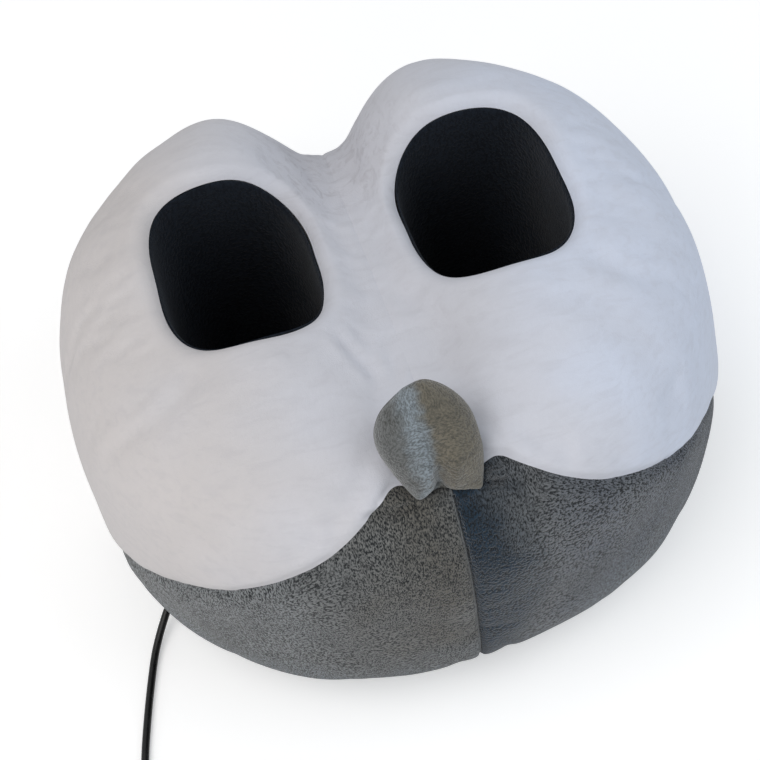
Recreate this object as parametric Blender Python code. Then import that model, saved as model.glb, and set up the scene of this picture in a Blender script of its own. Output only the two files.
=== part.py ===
"""Heated plush foot warmer.

A two-lobed stuffed body with a pocket for each foot, white over the cheeks and grey over the back,
a stuffed tail, a heating pad under the soles, a zip in the far wall, and a low-voltage cord with
an in-line controller and a plug. +Z is up. The tail and the grey back face -Y and the mouths of
the pockets lie towards +Y. The origin is on the floor under the middle of the body. Lengths are
in metres.
"""
import math

import bmesh
import bpy
from mathutils import Matrix, Vector

# Fits
FIT_GAP = 0.0003
COVER_GAP = 0.0004
OVERRUN = 0.020

# Body
BODY_WIDTH = 0.400
BODY_DEPTH = 0.376
BODY_HEIGHT = 0.226
GIRTH_HEIGHT = 0.084
UNDERCUT_DEPTH = 0.109
COVER_LIFT = 0.0012
CROWN_POWER = 4.2
UNDERCUT_POWER = 3.0
PLAN_POWER = 2.27
VALLEY_DEPTH = 0.047
VALLEY_SETBACK = 0.040
VALLEY_WIDTH = 0.042
VALLEY_NEAR_SHARE = 0.25
VALLEY_REACH_SHARES = (-0.7, 0.8)
SEAM_WIDTH = 0.0012
SIDE_STEPS = 12
STEP_POWER = 1.15
UPPER_ROWS = 5
LOWER_ROW_SHARES = (0, 0.18, 0.5)

# Cover and its white and grey fields
COVER_THICKNESS = 0.003
FIELD_HEIGHT = 0.171
FIELD_SLOPE = 0.786
FIELD_RISE = 0.064
FIELD_SHARES = ((0, 0.81), (0.1, 0.95), (0.15, 1.0), (0.2, 0.88), (0.3, 0.60), (0.4, 0.38),
                (0.475, 0.28), (0.55, 0.20), (0.625, 0.14), (0.7, 0.11), (1.2, 0.11))

# Layers under the feet
BASE_THICKNESS = 0.002
FOAM_THICKNESS = 0.0077
FELT_THICKNESS = 0.001
WIRE_DIAMETER = 0.0016
PAD_WIDTH = 0.256
PAD_DEPTH = 0.226
PAD_SETBACK = 0.022
PAD_POWER = 3.0
PAD_STEPS = 40
WIRE_SIDE_MARGIN = 0.032
WIRE_FAR_MARGIN = 0.017
WIRE_NEAR_MARGIN = 0.036
WIRE_RUN_PITCH = 0.038
WIRE_PAIR_PITCH = 0.010
WIRE_CROSSING_DEPTH = 0.024
WIRE_ARC_STEPS = 5

# Foot pockets
LINING_THICKNESS = 0.0015
POCKET_PITCH = 0.154
POCKET_WIDTH = 0.094
POCKET_HEEL_Y = 0.088
POCKET_NEAR_Y = -0.038
POCKET_TOE_Y = -0.150
TOE_BOX_HEIGHT = 0.070
MOUTH_FLARE = 0.005
MOUTH_DEPTH = 0.035
POCKET_POWER = 3.2
POCKET_STEPS = 14
POCKET_LEVEL_SHARES = ((0, 0.86, 0.90), (0.12, 0.95, 0.98), (0.45, 1.0, 1.0), (0.8, 0.96, 1.0),
                       (1.0, 0.80, 1.0), (1.13, 0.48, 1.0), (1.28, 0.16, 1.0), (1.6, 0, 1.0))

# Tail
TAIL_LENGTH = 0.066
TAIL_WIDTH = 0.058
TAIL_SHIFT = -0.005
TAIL_ROOT_WIDTH = 0.040
TAIL_ROOT_RADIUS = 0.003
TAIL_SETBACK = 0.031
TAIL_LEAN = math.radians(53)
TAIL_FRONT_BULGE = 0.019
TAIL_BACK_BULGE = 0.009
TAIL_SEAM = 0.0016
TAIL_PANEL = 0.0018
TAIL_TAPER_SHARE = 0.27
TAIL_ROOT_POWER = 2.6
TAIL_TIP_POWER = 2.1
TAIL_STEPS = 20
TAIL_RING_SHARES = (1, 0.9, 0.74, 0.5, 0.25)

# Zip in the far wall
ZIP_LENGTH = 0.130
ZIP_HEIGHT = 0.028
ZIP_SEAT = 0.0021
ZIP_SLOT_WIDTH = 0.0112
ZIP_TAPE_WIDTH = 0.010
ZIP_TAPE_THICKNESS = 0.001
ZIP_TOOTH_PITCH = 0.004
ZIP_TOOTH_WIDTH = 0.0016
ZIP_TOOTH_REACH = 0.0026
ZIP_TOOTH_THICKNESS = 0.0022
ZIP_CORD_WIDTH = 0.0010
ZIP_STOP_LENGTH = 0.003
ZIP_RECESS = 0.005
SLIDER_LENGTH = 0.011
SLIDER_WIDTH = 0.0096
SLIDER_PLATE = 0.001
SLIDER_WEDGE = 0.0018
SLIDER_CLEARANCE = 0.0004
BAIL_LENGTH = 0.0056
BAIL_THICKNESS = 0.0008
BAIL_WIDTH = 0.0016
BAIL_WINDOW = 0.0017
PULLER_LENGTH = 0.016
PULLER_WIDTH = 0.0056
PULLER_THICKNESS = 0.001
PULLER_HANG = math.radians(-90)
PULLER_HOLE_SHARE = 0.8

# Cord
CORD_DIAMETER = 0.005
CORD_STEP = 0.007
LEAD_EXIT_SHARES = (-0.941, -0.396)
LEAD_EXIT_HEIGHT = 0.0165
BOOT_LENGTH = 0.012
BOOT_RADIUS = 0.0055
BOOT_TIP_RADIUS = 0.0034
BOOT_FLANGE_RADIUS = 0.0073
BOOT_FLANGE = 0.0016
BOOT_SEAT = 0.006
BOOT_TURN = math.radians(22)
BOOT_PITCH = math.radians(20)
BOOT_INNER_LENGTH = 0.003
BOOT_RIBS = 3
BOOT_WAIST_SHARE = 0.85
INNER_LEAD_DIAMETER = 0.004
INNER_LEAD_REACH = 0.007
CUTOUT_LENGTH = 0.024
CUTOUT_WIDTH = 0.011
CUTOUT_HEIGHT = 0.006
CUTOUT_MARGIN = 0.002
CUTOUT_SETBACK = 0.012

# Routes from the boot to the controller, on to the coil and on to the plug, as places beyond the
# spot on the floor below the cord's exit
LEAD_ROUTE = ((-0.0185, -0.0208, 0.0064), (-0.0250, -0.0333, 0.0036), (-0.0320, -0.0528, 0.0026),
              (-0.0385, -0.0738, 0.0026), (-0.0448, -0.0968, 0.0026), (-0.0480, -0.1140, 0.0028),
              (-0.0490, -0.1290, 0.0041))
LINK_ROUTE = ((-0.0445, -0.2510, 0.0044), (-0.0360, -0.2590, 0.0037), (-0.0240, -0.2610, 0.0036),
              (-0.0100, -0.2560, 0.0036), (0.0040, -0.2485, 0.0036))
TAIL_ROUTE = ((0.0360, -0.2445, 0.0086), (0.0470, -0.2445, 0.0066), (0.0570, -0.2445, 0.0048))

# In-line controller
CONTROLLER_PLACE = (-0.0490, -0.1900)
CONTROLLER_LENGTH = 0.060
CONTROLLER_WIDTH = 0.024
CONTROLLER_HEIGHT = 0.013
CONTROLLER_WALL = 0.0014
CONTROLLER_ROUND = 0.0038
CONTROLLER_BOOT_LENGTH = 0.011
CONTROLLER_BOOT_RADIUS = 0.0042
BUTTON_RADIUS = 0.0045
BUTTON_PROUD = 0.0012
BUTTON_FLANGE = 0.0010
BUTTON_PLACE = 0.010
BUTTON_TRAVEL = 0.0008
BUTTON_CROWN_SHARE = 0.86
WINDOW_RADIUS = 0.0012
WINDOW_PITCH = 0.0055
WINDOW_PLACE = 0.004
WINDOW_COUNT = 3
BOARD_WIDTH = 0.017
BOARD_LENGTH = 0.050
BOARD_THICKNESS = 0.0012
BOARD_HEIGHT = 0.0048
SWITCH_SIZE = 0.006
SWITCH_HEIGHT = 0.0022
LAMP_SIZE = 0.0018
SCREW_PITCH = 0.042
SCREW_HEAD_RADIUS = 0.0019
SCREW_HEAD = 0.0012
SCREW_RADIUS = 0.0009
POST_RADIUS = 0.0026

# Coil and its tie
COIL_PLACE = (0.0220, -0.2070)
COIL_RADIUS = 0.0375
COIL_PITCH = 0.0055
COIL_TURNS = 7
COIL_STEPS = 24
TIE_THICKNESS = 0.0008
TIE_WIDTH = 0.008
TIE_GAP = 0.0008
TIE_TURN = math.radians(60)

# Plug
PLUG_BOOT_LENGTH = 0.012
PLUG_BOOT_RADIUS = 0.0037
PLUG_TAPER_SHARE = 0.8
PLUG_GRIP_LENGTH = 0.024
PLUG_GRIP_WIDTH = 0.0150
PLUG_GRIP_HEIGHT = 0.0080
PLUG_SHELL_LENGTH = 0.0186
PLUG_SHELL_WIDTH = 0.0120
PLUG_SHELL_HEIGHT = 0.0045
PLUG_SHELL_WALL = 0.0004
PLUG_TONGUE_WIDTH = 0.0096
PLUG_TONGUE_HEIGHT = 0.0016
PLUG_CONTACT_WIDTH = 0.0011
PLUG_CONTACT_HEIGHT = 0.0003
PLUG_CONTACT_LENGTH = 0.0090
PLUG_CONTACT_SHARES = (-0.76, -0.26, 0.26, 0.76)

BODY_MIDDLE = "body_middle"

# Heights and places that follow from the sizes above
HALF_WIDTH = BODY_WIDTH / 2
HALF_DEPTH = BODY_DEPTH / 2
CROWN_RISE = BODY_HEIGHT - GIRTH_HEIGHT
FOAM_BOTTOM = BASE_THICKNESS + FIT_GAP
FOAM_TOP = FOAM_BOTTOM + FOAM_THICKNESS
FELT_BOTTOM = FOAM_TOP + FIT_GAP
WIRE_HEIGHT = FELT_BOTTOM + FELT_THICKNESS + FIT_GAP + WIRE_DIAMETER / 2
UPPER_FELT_BOTTOM = WIRE_HEIGHT + WIRE_DIAMETER / 2 + FIT_GAP
PAD_TOP = UPPER_FELT_BOTTOM + FELT_THICKNESS
SOLE_HEIGHT = PAD_TOP + FIT_GAP + LINING_THICKNESS
CORD_RADIUS = CORD_DIAMETER / 2
TOP_CLEAR = BODY_HEIGHT + OVERRUN
CUTOUT_MIDDLE = FOAM_TOP + FIT_GAP + CUTOUT_HEIGHT / 2
CONTROLLER_MIDDLE = CONTROLLER_HEIGHT / 2
COIL_HEIGHT = TIE_THICKNESS + FIT_GAP + CORD_RADIUS
PLUG_HEIGHT = PLUG_GRIP_HEIGHT / 2


def ease(share):
    """A smooth step from 0 to 1."""
    share = min(1, max(0, share))
    return share * share * (3 - 2 * share)


def clear_scene():
    """Take every object out of the scene."""
    for item in list(bpy.data.objects):
        bpy.data.objects.remove(item, do_unlink=True)


def finish(name, colour, roughness, metallic=0.0):
    """A Principled material."""
    material = bpy.data.materials.new(name)
    material.use_nodes = True
    shader = material.node_tree.nodes["Principled BSDF"]
    shader.inputs["Base Color"].default_value = (*colour, 1)
    shader.inputs["Roughness"].default_value = roughness
    shader.inputs["Metallic"].default_value = metallic
    return material


def seat(name, data, matrix=None):
    """Put an object in the scene, carried by the body's middle."""
    item = bpy.data.objects.new(name, data)
    bpy.context.scene.collection.objects.link(item)
    item.parent = bpy.data.objects[BODY_MIDDLE]
    if matrix is not None:
        item.matrix_basis = matrix
    return item


def place(name, mesh, material=None, matrix=None):
    """Put a mesh in the scene under a name, with its material."""
    item = seat(name, mesh, matrix)
    if material is not None:
        mesh.materials.clear()
        mesh.materials.append(material)
    return item


def mesh_from(name, points, faces):
    """A mesh from points and faces."""
    mesh = bpy.data.meshes.new(name)
    mesh.from_pydata([tuple(point) for point in points], [], faces)
    mesh.update()
    return mesh


def smooth(item, angle=math.radians(40)):
    """Shade an object smooth, with creases kept."""
    item.data.shade_smooth()
    item.data.set_sharp_from_angle(angle=angle)
    return item


def cutter(name, mesh, matrix=None):
    """A guide solid that only cuts other pieces."""
    item = place(name, mesh, matrix=matrix)
    item.hide_render = True
    item.display_type = "WIRE"
    return item


def boolean(item, tool, operation):
    """Cut or join an object with another by a Boolean modifier."""
    modifier = item.modifiers.new(f"{operation.lower()} {tool.name}", "BOOLEAN")
    modifier.operation = operation
    modifier.solver = "EXACT"
    modifier.object = tool
    return item


def loft(rings):
    """Points and faces of a closed solid through rings that run anticlockwise seen from above."""
    count = len(rings[0])
    points = [point for ring in rings for point in ring]
    faces = [list(reversed(range(count)))]
    for row in range(len(rings) - 1):
        low, high = row * count, (row + 1) * count
        for k in range(count):
            after = (k + 1) % count
            faces.append([low + k, low + after, high + after, high + k])
    faces.append([len(points) - count + k for k in range(count)])
    return points, faces


def cup(outer, inner):
    """Points and faces of an open shell: rings of its outside and of its inside, bottom to top."""
    count = len(outer[0])
    points, faces = loft(outer)
    faces.pop()
    shift = len(points)
    inner_points, inner_faces = loft(inner)
    inner_faces.pop()
    faces += [[shift + k for k in reversed(face)] for face in inner_faces]
    outer_top, inner_top = shift - count, shift + len(inner_points) - count
    for k in range(count):
        after = (k + 1) % count
        faces.append([outer_top + k, outer_top + after, inner_top + after, inner_top + k])
    return points + inner_points, faces


def prism(outline, low, high):
    """Points and faces of an outline of (x, y) pairs, anticlockwise, raised from low to high."""
    return loft([[(x, y, z) for x, y in outline] for z in (low, high)])


def box_mesh(name, low, high):
    """A plain box between two corners."""
    outline = ((low[0], low[1]), (high[0], low[1]), (high[0], high[1]), (low[0], high[1]))
    return mesh_from(name, *prism(outline, low[2], high[2]))


def rounded_box(name, size, centre, radius, steps=3, only_upright=False):
    """A box with rounded edges."""
    shape = bmesh.new()
    bmesh.ops.create_cube(shape, size=1)
    bmesh.ops.scale(shape, vec=size, verts=shape.verts)
    edges = [
        edge for edge in shape.edges
        if not only_upright or abs(edge.verts[0].co.z - edge.verts[1].co.z) > size[2] / 2
    ]
    bmesh.ops.bevel(shape, geom=edges, offset=radius, segments=steps, profile=0.5, affect="EDGES")
    bmesh.ops.translate(shape, vec=centre, verts=shape.verts)
    mesh = bpy.data.meshes.new(name)
    shape.to_mesh(mesh)
    shape.free()
    return mesh


def circle(radius, steps, centre=(0, 0)):
    """Points of a circle, anticlockwise."""
    turns = (2 * math.pi * k / steps for k in range(steps))
    return [(centre[0] + radius * math.cos(t), centre[1] + radius * math.sin(t)) for t in turns]


def turned(name, profile, steps=12):
    """A solid turned about Z from (radius, height) pairs, bottom to top."""
    rings = [[(x, y, height) for x, y in circle(radius, steps)] for radius, height in profile]
    return mesh_from(name, *loft(rings))


def rounded_outline(half_x, half_y, power, steps, centre=(0, 0)):
    """Points of a superellipse, anticlockwise."""
    points = []
    for k in range(steps):
        turn = 2 * math.pi * k / steps
        c, s = math.cos(turn), math.sin(turn)
        x = half_x * math.copysign(abs(c) ** (2 / power), c)
        y = half_y * math.copysign(abs(s) ** (2 / power), s)
        points.append((centre[0] + x, centre[1] + y))
    return points


def spline_through(route, parts):
    """Points of a smooth curve through the route's points, with parts steps in each stretch."""
    nodes = [Vector(point) for point in route]
    nodes = [2 * nodes[0] - nodes[1], *nodes, 2 * nodes[-1] - nodes[-2]]
    points = []
    for before, a, b, after in zip(nodes, nodes[1:], nodes[2:], nodes[3:]):
        for k in range(parts):
            t = k / parts
            points.append(0.5 * (
                2 * a + (b - before) * t + (2 * before - 5 * a + 4 * b - after) * t ** 2
                + (3 * a - before - 3 * b + after) * t ** 3
            ))
    points.append(nodes[-2])
    return points


def length_of(points):
    """Length of a line of points."""
    return sum((b - a).length for a, b in zip(points, points[1:]))


def evenly(points, step):
    """A line of points taken again at about a given step."""
    total = length_of(points)
    count = max(1, round(total / step))
    marks = [total * k / count for k in range(1, count)]
    kept, run = [points[0]], 0
    for a, b in zip(points, points[1:]):
        span = (b - a).length
        while marks and run + span >= marks[0]:
            kept.append(a.lerp(b, (marks.pop(0) - run) / span))
        run += span
    return [*kept, points[-1]]


def tube(name, points, diameter, material, resolution=2):
    """A round cord along points, closed at both ends."""
    curve = bpy.data.curves.new(name, "CURVE")
    curve.dimensions = "3D"
    curve.bevel_depth = diameter / 2
    curve.bevel_resolution = resolution
    curve.use_fill_caps = True
    spline = curve.splines.new("POLY")
    spline.points.add(len(points) - 1)
    for slot, point in zip(spline.points, points):
        slot.co = (*point, 1)
    curve.materials.append(material)
    return seat(name, curve)


def aim(origin, direction):
    """A matrix that carries the local Z axis to a direction, at an origin."""
    return Matrix.Translation(origin) @ Vector(direction).to_track_quat("Z", "Y").to_matrix().to_4x4()


# The body's surface

def plan_norm(x, y):
    """How far out a direction lies on the body's plan, 1 on its outline."""
    return (abs(x) ** PLAN_POWER + abs(y) ** PLAN_POWER) ** (1 / PLAN_POWER)


def in_valley(x, y, z):
    """The point, lowered and drawn in by the valley between the lobes."""
    notch = math.exp(-(x / VALLEY_WIDTH) ** 2)
    start, full = (share * HALF_DEPTH for share in VALLEY_REACH_SHARES)
    along = VALLEY_NEAR_SHARE + (1 - VALLEY_NEAR_SHARE) * ease((y - start) / (full - start))
    rise = max(0, (z - GIRTH_HEIGHT) / CROWN_RISE)
    setback = VALLEY_SETBACK * notch * max(0, y / HALF_DEPTH) * min(1, z / GIRTH_HEIGHT) ** 2
    return Vector((x, y - setback, z - VALLEY_DEPTH * notch * rise * along))


def undercut(height):
    """Share of the full plan at a height below the girth, and the wall's slope there."""
    drop = max(0, GIRTH_HEIGHT - height) / UNDERCUT_DEPTH
    share = (1 - drop ** UNDERCUT_POWER) ** (1 / UNDERCUT_POWER)
    slope = HALF_WIDTH / UNDERCUT_DEPTH * drop ** (UNDERCUT_POWER - 1) * share ** (1 - UNDERCUT_POWER)
    return share, slope


def lower_point(x, y, height, inset):
    """The surface below the girth in the direction (x, y), drawn in by inset square to the wall."""
    share, slope = undercut(height)
    reach = inset * math.hypot(1, slope)
    norm = plan_norm(x, y)
    return in_valley((HALF_WIDTH * share - reach) * x / norm, (HALF_DEPTH * share - reach) * y / norm, height)


def upper_point(x, y, rise, inset):
    """The surface above the girth in the direction (x, y, rise), drawn in by inset."""
    scale = (plan_norm(x, y) ** CROWN_POWER + rise ** CROWN_POWER) ** (-1 / CROWN_POWER)
    return in_valley(
        (HALF_WIDTH - inset) * x * scale,
        (HALF_DEPTH - inset) * y * scale,
        GIRTH_HEIGHT + (CROWN_RISE - inset) * rise * scale,
    )


def top_height(x, y):
    """Height of the body's top over a place in the plan."""
    norm = plan_norm(x / HALF_WIDTH, y / HALF_DEPTH)
    rise = (1 - norm ** CROWN_POWER) ** (1 / CROWN_POWER)
    return in_valley(x, y, GIRTH_HEIGHT + CROWN_RISE * rise).z


def far_wall(x, height):
    """Depth of the far wall at a place across and a height below the girth."""
    share, _ = undercut(height)
    norm = (1 - (abs(x) / (HALF_WIDTH * share)) ** PLAN_POWER) ** (1 / PLAN_POWER)
    return in_valley(x, HALF_DEPTH * share * norm, height).y


def box_steps():
    """Places along half a unit box's side, from its middle to its corner, closer near the middle."""
    half = SIDE_STEPS // 2
    return [math.tan((k / half) ** STEP_POWER * math.pi / 4) for k in range(half + 1)]


def columns():
    """Places across the unit box, with a pair beside the middle seam."""
    beside = [SEAM_WIDTH / BODY_WIDTH, *box_steps()[1:]]
    return [-x for x in reversed(beside)] + beside


def rows():
    """Places along the unit box, from its near side to its far side."""
    steps = box_steps()
    return [-y for y in reversed(steps[1:])] + steps


def plan_ring():
    """Indices of the columns and rows round the unit box's sides, anticlockwise."""
    last, end = len(columns()) - 1, len(rows()) - 1
    near = [(k, 0) for k in range(last)]
    right = [(last, k) for k in range(end)]
    far = [(last - k, end) for k in range(last)]
    left = [(0, end - k) for k in range(end)]
    return near + right + far + left


def ring_directions():
    """Directions round the unit box's sides, anticlockwise."""
    across, along = columns(), rows()
    return [(across[i], along[j]) for i, j in plan_ring()]


def wall_heights():
    """Heights of the wall's rows up to the girth, from the cover's rim."""
    return [COVER_LIFT, *(FELT_BOTTOM + (GIRTH_HEIGHT - FELT_BOTTOM) * share for share in LOWER_ROW_SHARES)]


def wall_section(height, inset):
    """The straight wall between the rim and the first row above it, cut at a height."""
    low, high, *_ = wall_heights()
    share = (height - low) / (high - low)
    points = []
    for x, y in ring_directions():
        foot = lower_point(x, y, low, inset)
        head = lower_point(x, y, high, inset)
        point = foot.lerp(head, share)
        points.append((point.x, point.y))
    return points


def mirrored_halves(quad, points):
    """A four-sided face as two triangles, cut alike on the body's left and right."""
    a, b, c, d = quad
    if sum(points[k].x for k in quad) < 0:
        return [[a, b, c], [a, c, d]]
    return [[a, b, d], [b, c, d]]


def body_sheet(inset):
    """Points and faces of the body's surface, drawn in by inset and open below."""
    directions = ring_directions()
    count = len(directions)
    points, faces = [], []
    for height in wall_heights():
        points += [lower_point(x, y, height, inset) for x, y in directions]
    for row in range(UPPER_ROWS + 1):
        rise = math.tan(row / UPPER_ROWS * math.pi / 4)
        points += [upper_point(x, y, rise, inset) for x, y in directions]
    levels = len(points) // count
    for level in range(levels - 1):
        low, high = level * count, (level + 1) * count
        for k in range(count):
            after = (k + 1) % count
            faces += mirrored_halves([low + k, low + after, high + after, high + k], points)
    at = {spot: (levels - 1) * count + k for k, spot in enumerate(plan_ring())}
    across, along = columns(), rows()
    for j in range(1, len(along) - 1):
        for i in range(1, len(across) - 1):
            at[i, j] = len(points)
            points.append(upper_point(across[i], along[j], 1, inset))
    for j in range(len(along) - 1):
        for i in range(len(across) - 1):
            faces += mirrored_halves([at[i, j], at[i + 1, j], at[i + 1, j + 1], at[i, j + 1]], points)
    return points, faces, count


def cover_blank():
    """The whole cover as one shell, open below."""
    points, faces, count = body_sheet(0)
    inner_points, inner_faces, _ = body_sheet(COVER_THICKNESS)
    shift = len(points)
    faces += [[shift + k for k in reversed(face)] for face in inner_faces]
    for k in range(count):
        after = (k + 1) % count
        faces.append([after, k, shift + k, shift + after])
    return mesh_from("cover blank", points + inner_points, faces)


def filling_blank():
    """The space inside the cover as one solid, flat below."""
    points, faces, count = body_sheet(COVER_THICKNESS + COVER_GAP)
    faces.append(list(reversed(range(count))))
    return mesh_from("filling blank", points, faces)


def field_line():
    """The line between white and grey across the body: places across and their rises."""
    route = [(HALF_WIDTH * x, 0, FIELD_RISE * rise) for x, rise in FIELD_SHARES]
    return [(point.x, point.z) for point in spline_through(route, 3)]


def field_zone(name, side, above):
    """The space of one cover panel: left or right of the seam, above or below the white's edge."""
    near, far = -HALF_DEPTH - OVERRUN, HALF_DEPTH + OVERRUN
    drop = FIELD_SLOPE * (far - near)
    gap = FIT_GAP if above else -FIT_GAP
    limit = TOP_CLEAR if above else FIELD_HEIGHT - drop - OVERRUN
    rows = []
    for x, rise in field_line():
        x = max(x, FIT_GAP / 2)
        height = FIELD_HEIGHT + FIELD_SLOPE * OVERRUN + rise + gap
        low, high = (height, limit) if above else (limit, height)
        far_low, far_high = (height - drop, limit) if above else (limit, height - drop)
        rows.append([(x, near, low), (x, far, far_low), (x, far, far_high), (x, near, high)])
    points, faces = loft(rows)
    if side < 0:
        points = [(-x, y, z) for x, y, z in points]
        faces = [list(reversed(face)) for face in faces]
    return cutter(name, mesh_from(name, points, faces))


def half_zone(name, side):
    """The space above the layers, left or right of the middle seam."""
    inner, outer = sorted((side * FIT_GAP / 2, side * (HALF_WIDTH + OVERRUN)))
    reach = HALF_DEPTH + OVERRUN
    return cutter(name, box_mesh(name, (inner, -reach, FELT_BOTTOM), (outer, reach, TOP_CLEAR)))


# Foot pockets

def toe_line(grow):
    """The pocket's toe side from sole to mouth as (y, z), moved out by grow."""
    reach = POCKET_NEAR_Y - POCKET_TOE_Y
    line = []
    for up, toe, _ in POCKET_LEVEL_SHARES:
        line.append((POCKET_NEAR_Y - reach * toe, SOLE_HEIGHT + TOE_BOX_HEIGHT * up))
    line.append((POCKET_NEAR_Y, BODY_HEIGHT - MOUTH_DEPTH))
    line.append((POCKET_NEAR_Y - MOUTH_FLARE, TOP_CLEAR))
    moved = []
    for k, (y, z) in enumerate(line):
        before, after = line[max(0, k - 1)], line[min(len(line) - 1, k + 1)]
        run, rise = after[0] - before[0], after[1] - before[1]
        span = math.hypot(run, rise)
        moved.append((y - grow * rise / span, z + grow * run / span))
    moved[0] = (moved[0][0], SOLE_HEIGHT - grow)
    moved[-1] = (moved[-1][0], TOP_CLEAR)
    return moved


def pocket_rings(side, grow):
    """Rings of a foot pocket from sole to mouth, moved out by grow."""
    shares = [width for _, _, width in POCKET_LEVEL_SHARES] + [1, 1]
    heights = [SOLE_HEIGHT + TOE_BOX_HEIGHT * up for up, _, _ in POCKET_LEVEL_SHARES]
    heights += [BODY_HEIGHT - MOUTH_DEPTH, TOP_CLEAR]
    heights[0] -= grow
    flares = [0] * (len(shares) - 1) + [MOUTH_FLARE]
    rings = []
    for (toe, toe_height), height, share, flare in zip(toe_line(grow), heights, shares, flares):
        heel = POCKET_HEEL_Y + grow + flare
        middle, half_y = (heel + toe) / 2, (heel - toe) / 2
        half_x = POCKET_WIDTH / 2 * share + grow + flare
        centre = (side * POCKET_PITCH / 2, middle)
        outline = rounded_outline(half_x, half_y, POCKET_POWER, POCKET_STEPS, centre)
        tilt = (toe_height - height) / (toe - heel)
        rings.append([(x, y, height + tilt * (y - heel)) for x, y in outline])
    return rings


def make_body(white, grey, filling, lining):
    """The cover panels, the fillings and the pocket linings."""
    blank = cover_blank()
    stuffing = filling_blank()
    core = cutter("core space", stuffing.copy())
    pad_mesh = mesh_from("pad space", *prism(pad_outline(FIT_GAP), 0, PAD_TOP + FIT_GAP))
    pad_space = cutter("pad space", pad_mesh)
    zip_slot = zip_space("zip slot", ZIP_SLOT_WIDTH, ZIP_TAPE_THICKNESS)
    zip_recess = zip_space("zip recess", 2 * (zip_half_width() + FIT_GAP), ZIP_RECESS)
    root_space = cutter("tail root space", tail_root_mesh(FIT_GAP), tail_frame())
    boot_spaces = [cutter(name, mesh, boot_frame()) for name, mesh in boot_space_meshes()]
    lead_space = cutter("lead space", lead_space_mesh())
    cutout_space = cutter("cut-out space", cutout_mesh(FIT_GAP), cutout_frame())
    for side, word in ((-1, "left"), (1, "right")):
        pocket_space = cutter(f"{word} pocket space", mesh_from("pocket", *loft(pocket_rings(side, 0))))
        seat = mesh_from("seat", *loft(pocket_rings(side, LINING_THICKNESS + FIT_GAP)))
        seat_space = cutter(f"{word} lining space", seat)
        half = half_zone(f"{word} half", side)

        cheek = place(f"cheek_cover_{word}", blank.copy(), white)
        boolean(cheek, field_zone(f"{word} cheek zone", side, True), "INTERSECT")
        for tool in (pocket_space, zip_slot, root_space):
            boolean(cheek, tool, "DIFFERENCE")

        back = place(f"back_cover_{word}", blank.copy(), grey)
        boolean(back, field_zone(f"{word} back zone", side, False), "INTERSECT")
        boolean(back, root_space, "DIFFERENCE")
        if side < 0:
            boolean(back, boot_spaces[0], "DIFFERENCE")

        fibre = place(f"filling_{word}", stuffing.copy(), filling)
        boolean(fibre, half, "INTERSECT")
        tools = [seat_space, pad_space, zip_recess, root_space]
        if side < 0:
            tools += [*boot_spaces, lead_space, cutout_space]
        for tool in tools:
            boolean(fibre, tool, "DIFFERENCE")

        walls = mesh_from("lining", *cup(pocket_rings(side, LINING_THICKNESS), pocket_rings(side, 0)))
        pocket = smooth(place(f"pocket_lining_{word}", walls, lining))
        boolean(pocket, core, "INTERSECT")
        for item in (cheek, back, fibre):
            smooth(item)


# Layers under the feet

def pad_outline(grow):
    """The heating pad's outline, moved out by grow."""
    half_x, half_y = PAD_WIDTH / 2 + grow, PAD_DEPTH / 2 + grow
    return rounded_outline(half_x, half_y, PAD_POWER, PAD_STEPS, (0, -PAD_SETBACK))


def wire_centre_line():
    """The middle between the two strands of the heating wire, from its start to its far end."""
    radius = WIRE_RUN_PITCH / 2
    outer = PAD_WIDTH / 2 - WIRE_SIDE_MARGIN
    inner = outer - WIRE_RUN_PITCH
    far = PAD_DEPTH / 2 - PAD_SETBACK - WIRE_FAR_MARGIN - radius
    near = WIRE_NEAR_MARGIN + WIRE_CROSSING_DEPTH - PAD_DEPTH / 2 - PAD_SETBACK
    arc = [math.pi * k / WIRE_ARC_STEPS for k in range(WIRE_ARC_STEPS + 1)]
    line = [(-outer, near)]
    line += [(radius - outer - radius * math.cos(t), far + radius * math.sin(t)) for t in arc]
    line += [(-inner * math.cos(t), near - WIRE_CROSSING_DEPTH * math.sin(t)) for t in arc]
    line += [(inner + radius - radius * math.cos(t), far + radius * math.sin(t)) for t in arc]
    line.append((outer, near))
    return line


def wire_points():
    """The heating wire, out along one side of its centre line and back along the other."""
    line = wire_centre_line()
    half = WIRE_PAIR_PITCH / 2
    out, back = [], []
    for k, (x, y) in enumerate(line):
        before, after = line[max(0, k - 1)], line[min(len(line) - 1, k + 1)]
        run, rise = after[0] - before[0], after[1] - before[1]
        span = math.hypot(run, rise)
        across, up = -rise / span * half, run / span * half
        out.append(Vector((x + across, y + up, WIRE_HEIGHT)))
        back.append(Vector((x - across, y - up, WIRE_HEIGHT)))
    end = line[-1]
    turn = Vector((end[0], end[1] - half, WIRE_HEIGHT))
    return [*out, turn, *reversed(back)]


def lead_knee():
    """Where the inner lead starts behind the boot and where it turns down."""
    frame = boot_frame()
    start = boot_flange_top() - BOOT_FLANGE - BOOT_INNER_LENGTH - FIT_GAP
    return frame @ Vector((0, 0, start)), frame @ Vector((0, 0, start - INNER_LEAD_REACH))


def cutout_frame():
    """Where the thermal cut-out lies: clear of the pad and the pocket on the left, along the pad's edge."""
    edge = max(PAD_WIDTH / 2, (POCKET_PITCH + POCKET_WIDTH) / 2 + LINING_THICKNESS)
    x = edge + CUTOUT_MARGIN + CUTOUT_WIDTH / 2
    spot = Matrix.Translation((-x, CUTOUT_SETBACK - PAD_SETBACK, CUTOUT_MIDDLE))
    return spot @ Matrix.Rotation(-math.pi / 2, 4, "Z")


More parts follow.
